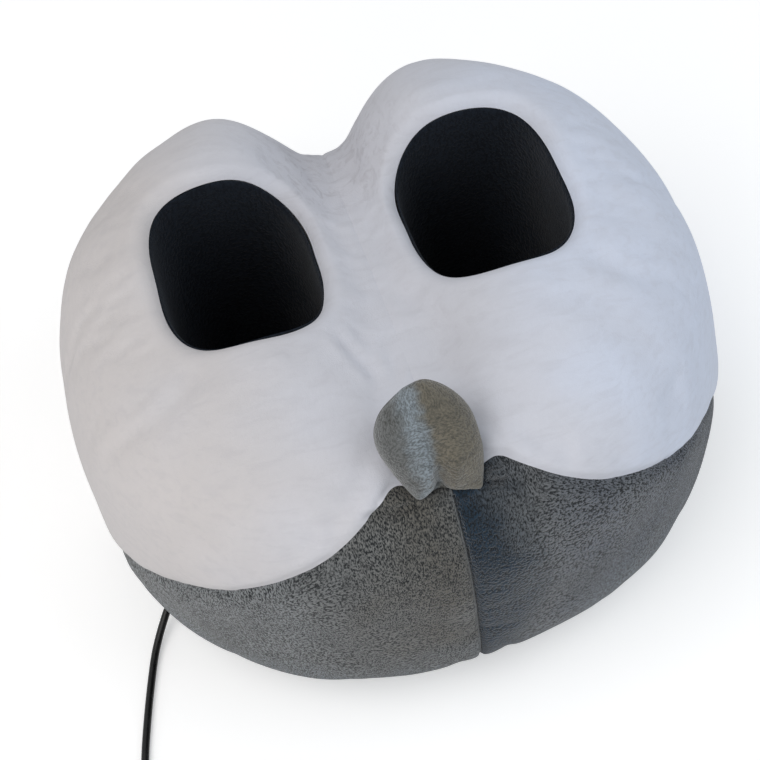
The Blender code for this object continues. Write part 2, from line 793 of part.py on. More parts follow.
def cutout_mesh(grow):
    """The thermal cut-out's capsule, moved out by grow."""
    size = (CUTOUT_LENGTH + 2 * grow, CUTOUT_WIDTH + 2 * grow, CUTOUT_HEIGHT + 2 * grow)
    return rounded_box("cut-out", size, (0, 0, 0), CUTOUT_HEIGHT / 4, 2)


def exit_point():
    """Where the cord leaves the wall."""
    return lower_point(*LEAD_EXIT_SHARES, LEAD_EXIT_HEIGHT, 0)


def beyond(route):
    """Places given beyond the spot on the floor below the cord's exit."""
    spot = exit_point()
    return [Vector((spot.x + x, spot.y + y, z)) for x, y, z in route]


def boot_frame():
    """The cord boot's frame: its Z axis points out of the wall, turned towards the near side."""
    x, y = LEAD_EXIT_SHARES
    out_x = math.copysign(abs(x) ** (PLAN_POWER - 1) / HALF_WIDTH, x)
    out_y = math.copysign(abs(y) ** (PLAN_POWER - 1) / HALF_DEPTH, y)
    heading = math.atan2(out_y, out_x) + BOOT_TURN
    flat = math.cos(BOOT_PITCH)
    return aim(exit_point(), (math.cos(heading) * flat, math.sin(heading) * flat, -math.sin(BOOT_PITCH)))


def boot_flange_top():
    """How far in from the wall's outside the boot's flange lies."""
    return -(COVER_THICKNESS + BOOT_SEAT)


def boot_space_meshes():
    """The spaces that the boot's neck and flange need, as names and meshes."""
    top = boot_flange_top()
    neck = [(BOOT_RADIUS + FIT_GAP, top - OVERRUN), (BOOT_RADIUS + FIT_GAP, OVERRUN)]
    reach = BOOT_FLANGE_RADIUS + FIT_GAP
    flange = [(reach, top - BOOT_FLANGE - FIT_GAP), (reach, top + FIT_GAP)]
    neck_mesh, flange_mesh = turned("neck", neck, 16), turned("flange", flange, 16)
    return (("boot neck space", neck_mesh), ("boot flange space", flange_mesh))


def lead_bend():
    """Where the inner lead straightens before the cut-out, and the face of the cut-out that it meets."""
    frame = cutout_frame()
    half = CUTOUT_LENGTH / 2
    return frame @ Vector((half + INNER_LEAD_REACH, 0, 0)), frame @ Vector((half, 0, 0))


def inner_lead_points():
    """The inner lead from the boot down to the cut-out."""
    start, knee = lead_knee()
    bend, face = lead_bend()
    end = face + (bend - face).normalized() * 2 * FIT_GAP
    return spline_through([start, start.lerp(knee, 0.5), knee, bend, bend.lerp(end, 0.5), end], 3)


def lead_space_mesh():
    """The channel in the filling for the inner lead, round the bend before the cut-out."""
    _, knee = lead_knee()
    bend, face = lead_bend()
    line = [Vector((point.x, point.y, 0)) for point in (face, bend, knee)]
    line.append(line[-1] + (line[-1] - line[-2]).normalized() * INNER_LEAD_DIAMETER)
    right, left = [], []
    for k, point in enumerate(line):
        run = (line[min(k + 1, len(line) - 1)] - line[max(k - 1, 0)]).normalized() * INNER_LEAD_DIAMETER
        right.append((point.x + run.y, point.y - run.x))
        left.append((point.x - run.y, point.y + run.x))
    outline = [*right, *reversed(left)]
    return mesh_from("lead space", *prism(outline, FELT_BOTTOM - FIT_GAP, knee.z + INNER_LEAD_DIAMETER))


def make_layers(base_cloth, foam, felt, wire, plastic, cord):
    """The base panel, the foam board, the heating pad and its thermal cut-out."""
    inset = COVER_THICKNESS + FIT_GAP
    base = prism(wall_section(COVER_LIFT, inset), 0, BASE_THICKNESS)
    smooth(place("base_panel", mesh_from("base", *base), base_cloth))
    rings = [[(x, y, z) for x, y in wall_section(z, inset)] for z in (FOAM_BOTTOM, FOAM_TOP)]
    smooth(place("foam_sole", mesh_from("foam", *loft(rings)), foam))
    for name, low in (("heater_felt_lower", FELT_BOTTOM), ("heater_felt_upper", UPPER_FELT_BOTTOM)):
        sheet = prism(pad_outline(0), low, low + FELT_THICKNESS)
        smooth(place(name, mesh_from(name, *sheet), felt))
    tube("heating_wire", wire_points(), WIRE_DIAMETER, wire)
    smooth(place("thermal_cutout", cutout_mesh(0), plastic, cutout_frame()))
    tube("heater_lead", inner_lead_points(), INNER_LEAD_DIAMETER, cord)


# Tail

def tail_frame():
    """The tail's frame: X along the root, Y along the tail, Z out of its front."""
    root_y = -HALF_DEPTH + TAIL_SETBACK
    across = TAIL_ROOT_WIDTH / 4
    height = top_height(across, root_y) + TAIL_ROOT_RADIUS / 2
    return Matrix.Translation((TAIL_SHIFT, root_y, height)) @ Matrix.Rotation(TAIL_LEAN, 4, "X")


def tail_root_mesh(grow):
    """The root roll, a round roll across the tail's foot, moved out by grow."""
    half = TAIL_ROOT_WIDTH / 2
    end = half - TAIL_ROOT_RADIUS / 2
    radius = TAIL_ROOT_RADIUS
    tip, belly = radius / 2 + grow, radius + grow
    profile = [(tip, -half - grow), (belly, -end), (belly, end), (tip, half + grow)]
    mesh = turned("tail root", profile, 16)
    mesh.transform(Matrix.Rotation(math.pi / 2, 4, "Y"))
    return mesh


def tail_outline(share):
    """The tail's outline about its middle, drawn in by share: blunt at the root, broad at the tip."""
    foot = TAIL_ROOT_RADIUS + FIT_GAP
    half = (TAIL_LENGTH - foot) / 2
    points = []
    broad = rounded_outline(TAIL_WIDTH / 2, half, TAIL_TIP_POWER, TAIL_STEPS)
    blunt = rounded_outline(TAIL_WIDTH / 2, half, TAIL_ROOT_POWER, TAIL_STEPS)
    for tip, root in zip(broad, blunt):
        x, y = tip if tip[1] > 0 else root
        narrow = 1 - TAIL_TAPER_SHARE * ((1 - y / half) / 2) ** 2
        points.append((x * narrow * share, foot + half + y * share))
    return points


def tail_dome(bulge, edge, inset):
    """Rings of one face of the tail, from its seam to its crown."""
    rings = []
    trim = 1 - 2 * inset / TAIL_WIDTH
    for share in TAIL_RING_SHARES:
        height = edge + (bulge - edge) * math.sqrt(1 - share ** 2)
        rings.append([(x, y, height) for x, y in tail_outline(share * trim)])
    return rings


def tail_panel(name, bulge, material):
    """One face of the tail's cover: a domed panel with a flat seam edge."""
    outer = tail_dome(bulge, TAIL_SEAM, 0)
    inner = tail_dome(bulge - TAIL_PANEL, TAIL_SEAM / 2, TAIL_PANEL)
    seam = [(x, y, FIT_GAP / 2) for x, y, _ in outer[0]]
    inner_seam = [(x, y, FIT_GAP / 2) for x, y, _ in inner[0]]
    points, faces = loft([seam, *outer])
    shift = len(points)
    inner_points, inner_faces = loft([inner_seam, *inner])
    faces = faces[1:] + [[shift + k for k in reversed(face)] for face in inner_faces[1:]]
    for k in range(TAIL_STEPS):
        after = (k + 1) % TAIL_STEPS
        faces.append([after, k, shift + k, shift + after])
    return smooth(place(name, mesh_from(name, points + inner_points, faces), material, tail_frame()))


def make_tail(grey, filling):
    """The tail: root roll, front and back panels and filling."""
    smooth(place("tail_root_roll", tail_root_mesh(0), grey, tail_frame()))
    tail_panel("tail_front", TAIL_FRONT_BULGE, grey)
    back = tail_panel("tail_back", TAIL_BACK_BULGE, grey)
    back.data.transform(Matrix.Diagonal((1, 1, -1, 1)))
    back.data.flip_normals()
    inset = TAIL_PANEL + FIT_GAP
    front_half = tail_dome(TAIL_FRONT_BULGE - inset, FIT_GAP, inset)
    mirrored = tail_dome(TAIL_BACK_BULGE - inset, FIT_GAP, inset)
    back_half = [[(x, y, -z) for x, y, z in ring] for ring in mirrored]
    solid = loft([*reversed(back_half), *front_half])
    smooth(place("tail_filling", mesh_from("tail filling", *solid), filling, tail_frame()))


# Zip

def zip_half_width():
    """Half the width of the zip with its tapes."""
    return ZIP_TOOTH_REACH / 2 + ZIP_CORD_WIDTH + ZIP_TAPE_WIDTH + FIT_GAP


def zip_frame():
    """The zip's frame behind the far wall: X along the teeth, Y out of the wall, Z up along it."""
    low, high = ZIP_HEIGHT - zip_half_width(), ZIP_HEIGHT + zip_half_width()
    places = (0, ZIP_LENGTH / 4, ZIP_LENGTH / 2)
    low_wall, high_wall = (min(far_wall(x, height) for x in places) for height in (low, high))
    lean = math.atan2(high_wall - low_wall, high - low)
    inset = (COVER_THICKNESS + ZIP_SEAT) * math.hypot(1, math.tan(lean))
    depth = (low_wall + high_wall) / 2 - inset
    return Matrix.Translation((0, depth, ZIP_HEIGHT)) @ Matrix.Rotation(-lean, 4, "X")


def zip_space(name, width, depth):
    """The space that the zip needs in the wall, of a width across the teeth and a depth behind them."""
    half_length = ZIP_LENGTH / 2 + FIT_GAP
    mesh = box_mesh(name, (-half_length, -depth, -width / 2), (half_length, OVERRUN, width / 2))
    return cutter(name, mesh, zip_frame())


def tooth_row(up):
    """The outline of one row of teeth with its cord, in (x, z), anticlockwise."""
    root = ZIP_TOOTH_REACH / 2 + ZIP_CORD_WIDTH
    base, tip = ZIP_TOOTH_REACH / 2, -ZIP_TOOTH_REACH / 2
    span = chain_span()
    shift = 0 if up > 0 else ZIP_TOOTH_PITCH / 2
    count = int((span[1] - span[0]) / ZIP_TOOTH_PITCH)
    outline = [(span[1], base), (span[1], root), (span[0], root), (span[0], base)]
    for k in range(count):
        start = span[0] + shift + k * ZIP_TOOTH_PITCH + FIT_GAP
        end = start + ZIP_TOOTH_WIDTH
        neck = ZIP_TOOTH_WIDTH / 8
        outline += [(start + neck, base), (start, tip), (end, tip), (end - neck, base)]
    if up < 0:
        outline = [(x, -z) for x, z in reversed(outline)]
    return outline


def slider_rest():
    """Where the slider's middle stands when the zip is shut."""
    return ZIP_LENGTH / 2 - ZIP_STOP_LENGTH - SLIDER_LENGTH / 2 - 2 * FIT_GAP


def chain_span():
    """The stretch that the teeth fill, from the lower stop to the slider's throat."""
    return -ZIP_LENGTH / 2 + ZIP_STOP_LENGTH + FIT_GAP, slider_rest()


def upright(outline, thickness):
    """A mesh from an (x, z) outline, anticlockwise seen from -Y, with a thickness about y = 0."""
    rings = [[(x, y, z) for x, z in outline] for y in (thickness / 2, -thickness / 2)]
    return mesh_from("upright", *loft(rings))


def slider_mesh_parts():
    """The slider's sizes across its thickness: inside and outside of its plates."""
    inner = ZIP_TOOTH_THICKNESS / 2 + SLIDER_CLEARANCE
    return inner, inner + SLIDER_PLATE


def make_slider(metal):
    """The slider: two plates joined by a wedge, with flanges beside the tapes and a bail."""
    inner, outer = slider_mesh_parts()
    rest = slider_rest()
    half_length, half_width = SLIDER_LENGTH / 2, SLIDER_WIDTH / 2
    size = (SLIDER_LENGTH, 2 * outer, SLIDER_WIDTH)
    frame = zip_frame() @ Matrix.Translation((rest, 0, 0))
    slider = place("zip_slider", rounded_box("slider", size, (0, 0, 0), SLIDER_PLATE / 3, 2), metal, frame)
    throat = ZIP_TOOTH_REACH / 2 + ZIP_CORD_WIDTH + SLIDER_CLEARANCE
    reach = half_length + OVERRUN
    outline = [
        (-reach, -throat), (reach, -throat), (reach, -SLIDER_WEDGE), (half_length / 8, 0),
        (reach, SLIDER_WEDGE), (reach, throat), (-reach, throat),
    ]
    boolean(slider, cutter("slider throat", upright(outline, 2 * inner), frame), "DIFFERENCE")
    slot = ZIP_TAPE_THICKNESS / 2 + FIT_GAP
    for side, word in ((-1, "lower"), (1, "upper")):
        low, high = sorted((side * (throat - FIT_GAP), side * (half_width + OVERRUN)))
        mesh = box_mesh("tape way", (-reach, -slot, low), (reach, slot, high))
        boolean(slider, cutter(f"{word} tape way", mesh, frame), "DIFFERENCE")
    arch_top = outer + BAIL_WINDOW + BAIL_THICKNESS
    seat = outer - SLIDER_PLATE / 2
    arch = [
        (-BAIL_LENGTH / 2, seat), (BAIL_LENGTH / 2, seat), (BAIL_LENGTH / 2, outer + BAIL_WINDOW),
        (BAIL_LENGTH / 2 - BAIL_THICKNESS, arch_top), (-BAIL_LENGTH / 2 + BAIL_THICKNESS, arch_top),
        (-BAIL_LENGTH / 2, outer + BAIL_WINDOW),
    ]
    bail = cutter("bail", mesh_from("bail", *prism(arch, -BAIL_WIDTH / 2, BAIL_WIDTH / 2)), frame)
    boolean(slider, bail, "UNION")
    half_window = BAIL_LENGTH / 2 - BAIL_THICKNESS
    low, high = (-half_window, outer, -BAIL_WIDTH), (half_window, outer + BAIL_WINDOW, BAIL_WIDTH)
    boolean(slider, cutter("bail window", box_mesh("window", low, high), frame), "DIFFERENCE")
    return smooth(slider)


def make_puller(metal):
    """The puller: a tab whose crossbar turns in the slider's bail."""
    _, outer = slider_mesh_parts()
    frame = zip_frame() @ Matrix.Translation((slider_rest(), outer + BAIL_WINDOW / 2, 0))
    frame = frame @ Matrix.Rotation(PULLER_HANG, 4, "Z")
    bar = PULLER_THICKNESS / 2
    eye_half = BAIL_WIDTH / 2 + 2 * FIT_GAP
    eye_end = BAIL_LENGTH / 2 + 2 * FIT_GAP
    size = (PULLER_LENGTH, PULLER_THICKNESS, PULLER_WIDTH)
    mesh = rounded_box("puller", size, (bar - PULLER_LENGTH / 2, 0, 0), PULLER_THICKNESS / 3, 2)
    puller = place("zip_puller", mesh, metal, frame)
    eye = box_mesh("eye", (-eye_end, -OVERRUN, -eye_half), (-bar, OVERRUN, eye_half))
    boolean(puller, cutter("puller eye", eye, frame), "DIFFERENCE")
    hole = [(x - PULLER_LENGTH * PULLER_HOLE_SHARE, z) for x, z in circle(PULLER_WIDTH / 5, 16)]
    boolean(puller, cutter("puller hole", upright(hole, OVERRUN), frame), "DIFFERENCE")
    return smooth(puller)


def make_zip(tape_cloth, teeth, metal):
    """The zip: tapes, rows of teeth, stops, slider and puller."""
    frame = zip_frame()
    root = ZIP_TOOTH_REACH / 2 + ZIP_CORD_WIDTH + FIT_GAP
    half = ZIP_LENGTH / 2
    for side, word in ((-1, "lower"), (1, "upper")):
        low, high = sorted((side * root, side * (root + ZIP_TAPE_WIDTH)))
        corner, far_corner = (-half, -ZIP_TAPE_THICKNESS / 2, low), (half, ZIP_TAPE_THICKNESS / 2, high)
        place(f"zip_tape_{word}", box_mesh("tape", corner, far_corner), tape_cloth, frame)
        place(f"zip_teeth_{word}", upright(tooth_row(side), ZIP_TOOTH_THICKNESS), teeth, frame)
    stop = (ZIP_STOP_LENGTH, ZIP_TOOTH_THICKNESS, 2 * (root - FIT_GAP))
    for side, word in ((-1, "open"), (1, "shut")):
        centre = (side * (half - ZIP_STOP_LENGTH / 2), 0, 0)
        mesh = rounded_box("stop", stop, centre, ZIP_TOOTH_THICKNESS / 4, 2)
        smooth(place(f"zip_stop_{word}", mesh, metal, frame))
    make_slider(metal)
    make_puller(metal)


# Cord, controller, coil and plug

def make_boot(rubber):
    """The cord boot: a ribbed taper outside the cover, a flange and a short neck inside."""
    top = boot_flange_top()
    inner_radius = INNER_LEAD_DIAMETER / 2 + (BOOT_RADIUS - INNER_LEAD_DIAMETER / 2) / 2
    profile = [(inner_radius, top - BOOT_FLANGE - BOOT_INNER_LENGTH), (inner_radius, top - BOOT_FLANGE)]
    profile += [(BOOT_FLANGE_RADIUS, top - BOOT_FLANGE), (BOOT_FLANGE_RADIUS, top)]
    profile += [(BOOT_RADIUS, top)]
    for k in range(BOOT_RIBS):
        start, end = BOOT_LENGTH * k / BOOT_RIBS, BOOT_LENGTH * (k + 0.5) / BOOT_RIBS
        radius = BOOT_RADIUS + (BOOT_TIP_RADIUS - BOOT_RADIUS) * start / BOOT_LENGTH
        waist = radius * BOOT_WAIST_SHARE
        profile += [(radius, start), (radius, end), (waist, end), (waist, BOOT_LENGTH * (k + 1) / BOOT_RIBS)]
    return smooth(place("cord_boot", turned("cord boot", profile, 12), rubber, boot_frame()))


def controller_boots():
    """Where the cord meets the controller's boots, in the order in which it passes."""
    centre = beyond([(*CONTROLLER_PLACE, CONTROLLER_MIDDLE)])[0]
    reach = Vector((0, CONTROLLER_LENGTH / 2 + CONTROLLER_BOOT_LENGTH + FIT_GAP, 0))
    return centre + reach, centre - reach


def lead_points():
    """The free cord from the boot to the controller."""
    frame = boot_frame()
    start = frame @ Vector((0, 0, BOOT_LENGTH + FIT_GAP))
    straight = frame @ Vector((0, 0, BOOT_LENGTH + FIT_GAP + CORD_DIAMETER / 2))
    end, _ = controller_boots()
    before = end + Vector((0, CORD_DIAMETER, 0))
    return evenly(spline_through([start, straight, *beyond(LEAD_ROUTE), before, end], 8), CORD_STEP)


def coil_points():
    """The coil: inwards on the floor layer, up a layer in the half turn where it reverses, and out."""
    points = []
    half = COIL_TURNS / 2
    centre = beyond([(*COIL_PLACE, 0)])[0]
    for k in range(COIL_TURNS * COIL_STEPS + 1):
        turns = k / COIL_STEPS
        radius = COIL_RADIUS - COIL_PITCH * min(turns, COIL_TURNS - turns)
        height = COIL_HEIGHT + COIL_PITCH * ease((turns - half) / 0.5 + 0.5)
        turn = 2 * math.pi * turns - math.pi / 2
        points.append(centre + Vector((radius * math.cos(turn), radius * math.sin(turn), height)))
    return points


def least_gap(points, diameter, apart):
    """The least gap between turns of a coil that lie more than a number of steps apart."""
    least = math.inf
    for k, point in enumerate(points):
        for other, after in zip(points[k + apart:], points[k + apart + 1:]):
            run = after - other
            share = min(1, max(0, (point - other).dot(run) / run.length_squared))
            least = min(least, (point - other - share * run).length)
    return least - diameter


def make_cords(cord):
    """The free cord's stretches and its coil."""
    tube("cord_lead", lead_points(), CORD_DIAMETER, cord)
    coil = coil_points()
    tube("cord_coil", coil, CORD_DIAMETER, cord, 1)
    _, start = controller_boots()
    run = (coil[1] - coil[0]).normalized()
    meet = coil[0] - run * FIT_GAP
    first = start - Vector((0, CORD_DIAMETER, 0))
    link = [start, first, *beyond(LINK_ROUTE), meet - run * CORD_DIAMETER, meet]
    link_points = evenly(spline_through(link, 8), CORD_STEP)
    tube("cord_link", link_points, CORD_DIAMETER, cord)
    run = (coil[-1] - coil[-2]).normalized()
    leave = coil[-1] + run * FIT_GAP
    end = plug_frame().translation - Vector((FIT_GAP, 0, 0))
    tail = [leave, leave + run * CORD_DIAMETER, *beyond(TAIL_ROUTE), end - Vector((CORD_DIAMETER, 0, 0)), end]
    tail_points = evenly(spline_through(tail, 8), CORD_STEP / 2)
    tube("cord_tail", tail_points, CORD_DIAMETER, cord)
    gap = least_gap(coil, CORD_DIAMETER, COIL_STEPS // 2)
    total = sum(length_of(points) for points in (lead_points(), link_points, coil, tail_points))
    print(f"least gap between the coil's turns {1000 * gap:.2f} mm, cord {total:.3f} m in all")


def make_tie(cloth):
    """The tie: a flat band round all the coil's turns."""
    turns = TIE_TURN / (2 * math.pi)
    outer = COIL_RADIUS - COIL_PITCH * min(turns, 0.5 - turns) + CORD_RADIUS + TIE_GAP
    inner = COIL_RADIUS - COIL_PITCH * (COIL_TURNS / 2) - CORD_RADIUS - TIE_GAP
    top = COIL_HEIGHT + COIL_PITCH + CORD_RADIUS + FIT_GAP
    half_x, half_z = (outer - inner) / 2, (top - TIE_THICKNESS) / 2
    size = (2 * (half_x + TIE_THICKNESS), TIE_WIDTH, 2 * (half_z + TIE_THICKNESS))
    middle = Vector(((outer + inner) / 2, 0, TIE_THICKNESS + half_z))
    frame = Matrix.Translation(beyond([(*COIL_PLACE, 0)])[0])
    frame = frame @ Matrix.Rotation(TIE_TURN - math.pi / 2, 4, "Z")
    band = bmesh.new()
    bmesh.ops.create_cube(band, size=1)
    bmesh.ops.scale(band, vec=size, verts=band.verts)
    along = [e for e in band.edges if abs(e.verts[0].co.y - e.verts[1].co.y) > TIE_WIDTH / 2]
    bmesh.ops.bevel(band, geom=along, offset=CORD_RADIUS, segments=3, profile=0.5, affect="EDGES")
    bmesh.ops.translate(band, vec=middle, verts=band.verts)
    mesh = bpy.data.meshes.new("tie")
    band.to_mesh(mesh)
    band.free()
    tie = place("coil_tie", mesh, cloth, frame)
    hollow = bmesh.new()
    bmesh.ops.create_cube(hollow, size=1)
    bmesh.ops.scale(hollow, vec=(2 * half_x, TIE_WIDTH + OVERRUN, 2 * half_z), verts=hollow.verts)
    along = [e for e in hollow.edges if abs(e.verts[0].co.y - e.verts[1].co.y) > TIE_WIDTH / 2]
    inner_round = CORD_RADIUS - TIE_THICKNESS
    bmesh.ops.bevel(hollow, geom=along, offset=inner_round, segments=3, profile=0.5, affect="EDGES")
    bmesh.ops.translate(hollow, vec=middle, verts=hollow.verts)
    mesh = bpy.data.meshes.new("tie hollow")
    hollow.to_mesh(mesh)
    hollow.free()
    boolean(tie, cutter("tie hollow", mesh, frame), "DIFFERENCE")
    return smooth(tie)


def make_controller(shell, button_rubber, lens, board, metal, rubber):
    """The in-line controller: shells, button, lamp windows, board, switch, lamps, boots, screws."""
    frame = Matrix.Translation(beyond([(*CONTROLLER_PLACE, 0)])[0])
    middle = (0, 0, CONTROLLER_MIDDLE)
    size = (CONTROLLER_WIDTH, CONTROLLER_LENGTH, CONTROLLER_HEIGHT)
    hollow_size = tuple(side - 2 * CONTROLLER_WALL for side in size)
    hollow_mesh = rounded_box("hollow", hollow_size, middle, CONTROLLER_ROUND - CONTROLLER_WALL, 2)
    hollow = cutter("controller hollow", hollow_mesh, frame)
    reach_x, reach_y = CONTROLLER_WIDTH, CONTROLLER_LENGTH
    joint = FIT_GAP / 2
    way_radius = CONTROLLER_BOOT_RADIUS - CONTROLLER_WALL + FIT_GAP
    way_mesh = turned("boot way", [(way_radius, -reach_y), (way_radius, reach_y)], 14)
    lengthwise = frame @ Matrix.Translation(middle) @ Matrix.Rotation(math.pi / 2, 4, "X")
    way = cutter("boot way", way_mesh, lengthwise)
    screw_places = [(0, -SCREW_PITCH / 2), (0, SCREW_PITCH / 2)]
    board_top = BOARD_HEIGHT + BOARD_THICKNESS
    top = CONTROLLER_HEIGHT
    low_post = (CONTROLLER_WALL / 2, BOARD_HEIGHT - FIT_GAP)
    high_post = (board_top + FIT_GAP, top - CONTROLLER_WALL / 2)
    halves = (
        ("controller_bottom", -OVERRUN, CONTROLLER_MIDDLE - joint, low_post),
        ("controller_top", CONTROLLER_MIDDLE + joint, top + OVERRUN, high_post),
    )
    screw_top = CONTROLLER_HEIGHT - 2 * CONTROLLER_WALL
    screw_profile = [(SCREW_HEAD_RADIUS, FIT_GAP), (SCREW_HEAD_RADIUS, FIT_GAP + SCREW_HEAD),
                     (SCREW_RADIUS, FIT_GAP + SCREW_HEAD), (SCREW_RADIUS, screw_top)]
    head_way, shank_way = SCREW_HEAD_RADIUS + FIT_GAP, SCREW_RADIUS + FIT_GAP
    head_seat = 2 * FIT_GAP + SCREW_HEAD
    hole_profile = [(head_way, -OVERRUN), (head_way, head_seat),
                    (shank_way, head_seat), (shank_way, screw_top + FIT_GAP)]
    button_y = -BUTTON_PLACE
    button_frame = frame @ Matrix.Translation((0, button_y, 0))
    screws = []
    for k, (x, y) in enumerate(screw_places):
        spot = frame @ Matrix.Translation((x, y, 0))
        screws.append(cutter(f"screw way {k + 1}", turned("screw way", hole_profile), spot))
        smooth(place(f"controller_screw_{k + 1}", turned("screw", screw_profile), metal, spot))
    windows = [(0, WINDOW_PLACE + WINDOW_PITCH * k) for k in range(WINDOW_COUNT)]
    for name, low, high, (post_low, post_high) in halves:
        half = place(name, rounded_box(name, size, middle, CONTROLLER_ROUND, 2), shell, frame)
        keep = box_mesh("keep", (-reach_x, -reach_y, low), (reach_x, reach_y, high))
        boolean(half, cutter(f"{name} keep", keep, frame), "INTERSECT")
        boolean(half, hollow, "DIFFERENCE")
        for k, (x, y) in enumerate(screw_places):
            post = turned("post", [(POST_RADIUS, post_low), (POST_RADIUS, post_high)])
            spot = frame @ Matrix.Translation((x, y, 0))
            boolean(half, cutter(f"{name} post {k + 1}", post, spot), "UNION")
        for tool in (way, *screws):
            boolean(half, tool, "DIFFERENCE")
        if name == "controller_top":
            button_way = BUTTON_RADIUS + FIT_GAP
            hole = turned("button hole", [(button_way, CONTROLLER_MIDDLE), (button_way, high)], 20)
            boolean(half, cutter("button hole", hole, button_frame), "DIFFERENCE")
            for k, (x, y) in enumerate(windows):
                lens_way = WINDOW_RADIUS + FIT_GAP
                hole = turned("window hole", [(lens_way, CONTROLLER_MIDDLE), (lens_way, high)])
                spot = frame @ Matrix.Translation((x, y, 0))
                boolean(half, cutter(f"window hole {k + 1}", hole, spot), "DIFFERENCE")
        smooth(half)
    ceiling = CONTROLLER_HEIGHT - CONTROLLER_WALL
    stem_low = board_top + FIT_GAP + SWITCH_HEIGHT + BUTTON_TRAVEL + FIT_GAP
    flange_top = ceiling - FIT_GAP
    flange_low = flange_top - BUTTON_FLANGE
    rim = BUTTON_RADIUS + BUTTON_FLANGE
    profile = [
        (BUTTON_RADIUS / 3, stem_low), (BUTTON_RADIUS / 3, flange_low),
        (rim, flange_low), (rim, flange_top),
        (BUTTON_RADIUS, flange_top), (BUTTON_RADIUS, CONTROLLER_HEIGHT + BUTTON_PROUD / 2),
        (BUTTON_RADIUS * BUTTON_CROWN_SHARE, CONTROLLER_HEIGHT + BUTTON_PROUD),
    ]
    smooth(place("controller_button", turned("button", profile, 20), button_rubber, button_frame))
    plate = (BOARD_WIDTH, BOARD_LENGTH, BOARD_THICKNESS)
    board_middle = (0, 0, BOARD_HEIGHT + BOARD_THICKNESS / 2)
    board_mesh = rounded_box("board", plate, board_middle, BOARD_THICKNESS, 2, True)
    plate_item = place("controller_board", board_mesh, board, frame)
    for tool in screws:
        boolean(plate_item, tool, "DIFFERENCE")
    switch = rounded_box("switch", (SWITCH_SIZE, SWITCH_SIZE, SWITCH_HEIGHT),
                         (0, 0, board_top + FIT_GAP + SWITCH_HEIGHT / 2), SWITCH_HEIGHT / 6, 1)
    place("board_switch", switch, metal, button_frame)
    for k, (x, y) in enumerate(windows):
        spot = frame @ Matrix.Translation((x, y, 0))
        lamp_top = board_top + FIT_GAP + LAMP_SIZE / 2
        lens_profile = [(WINDOW_RADIUS, lamp_top + FIT_GAP), (WINDOW_RADIUS, CONTROLLER_HEIGHT)]
        smooth(place(f"lamp_window_{k + 1}", turned("window", lens_profile), lens, spot))
        low = (-LAMP_SIZE / 2, -LAMP_SIZE / 2, board_top + FIT_GAP)
        lamp = box_mesh("lamp", low, (LAMP_SIZE / 2, LAMP_SIZE / 2, lamp_top))
        place(f"board_lamp_{k + 1}", lamp, lens, spot)
    neck = CONTROLLER_BOOT_RADIUS - CONTROLLER_WALL
    for side, word in ((1, "inlet"), (-1, "outlet")):
        spot = frame @ Matrix.Translation((0, side * CONTROLLER_LENGTH / 2, CONTROLLER_MIDDLE))
        turn = Matrix.Rotation(-side * math.pi / 2, 4, "X")
        catch, inside = neck + 2 * FIT_GAP, -CONTROLLER_WALL - 2 * FIT_GAP
        profile = [
            (catch, -2 * CONTROLLER_WALL), (catch, inside), (neck, inside), (neck, FIT_GAP),
            (CONTROLLER_BOOT_RADIUS, FIT_GAP), (CONTROLLER_BOOT_RADIUS, CONTROLLER_BOOT_LENGTH / 5),
            (CORD_RADIUS + FIT_GAP, CONTROLLER_BOOT_LENGTH),
        ]
        smooth(place(f"controller_boot_{word}", turned("boot", profile, 14), rubber, spot @ turn))


def plug_frame():
    """The plug's frame: X points out of the cord, along the plug."""
    start = beyond(TAIL_ROUTE)[-1]
    return Matrix.Translation((start.x + 2 * CORD_DIAMETER, start.y, PLUG_HEIGHT))


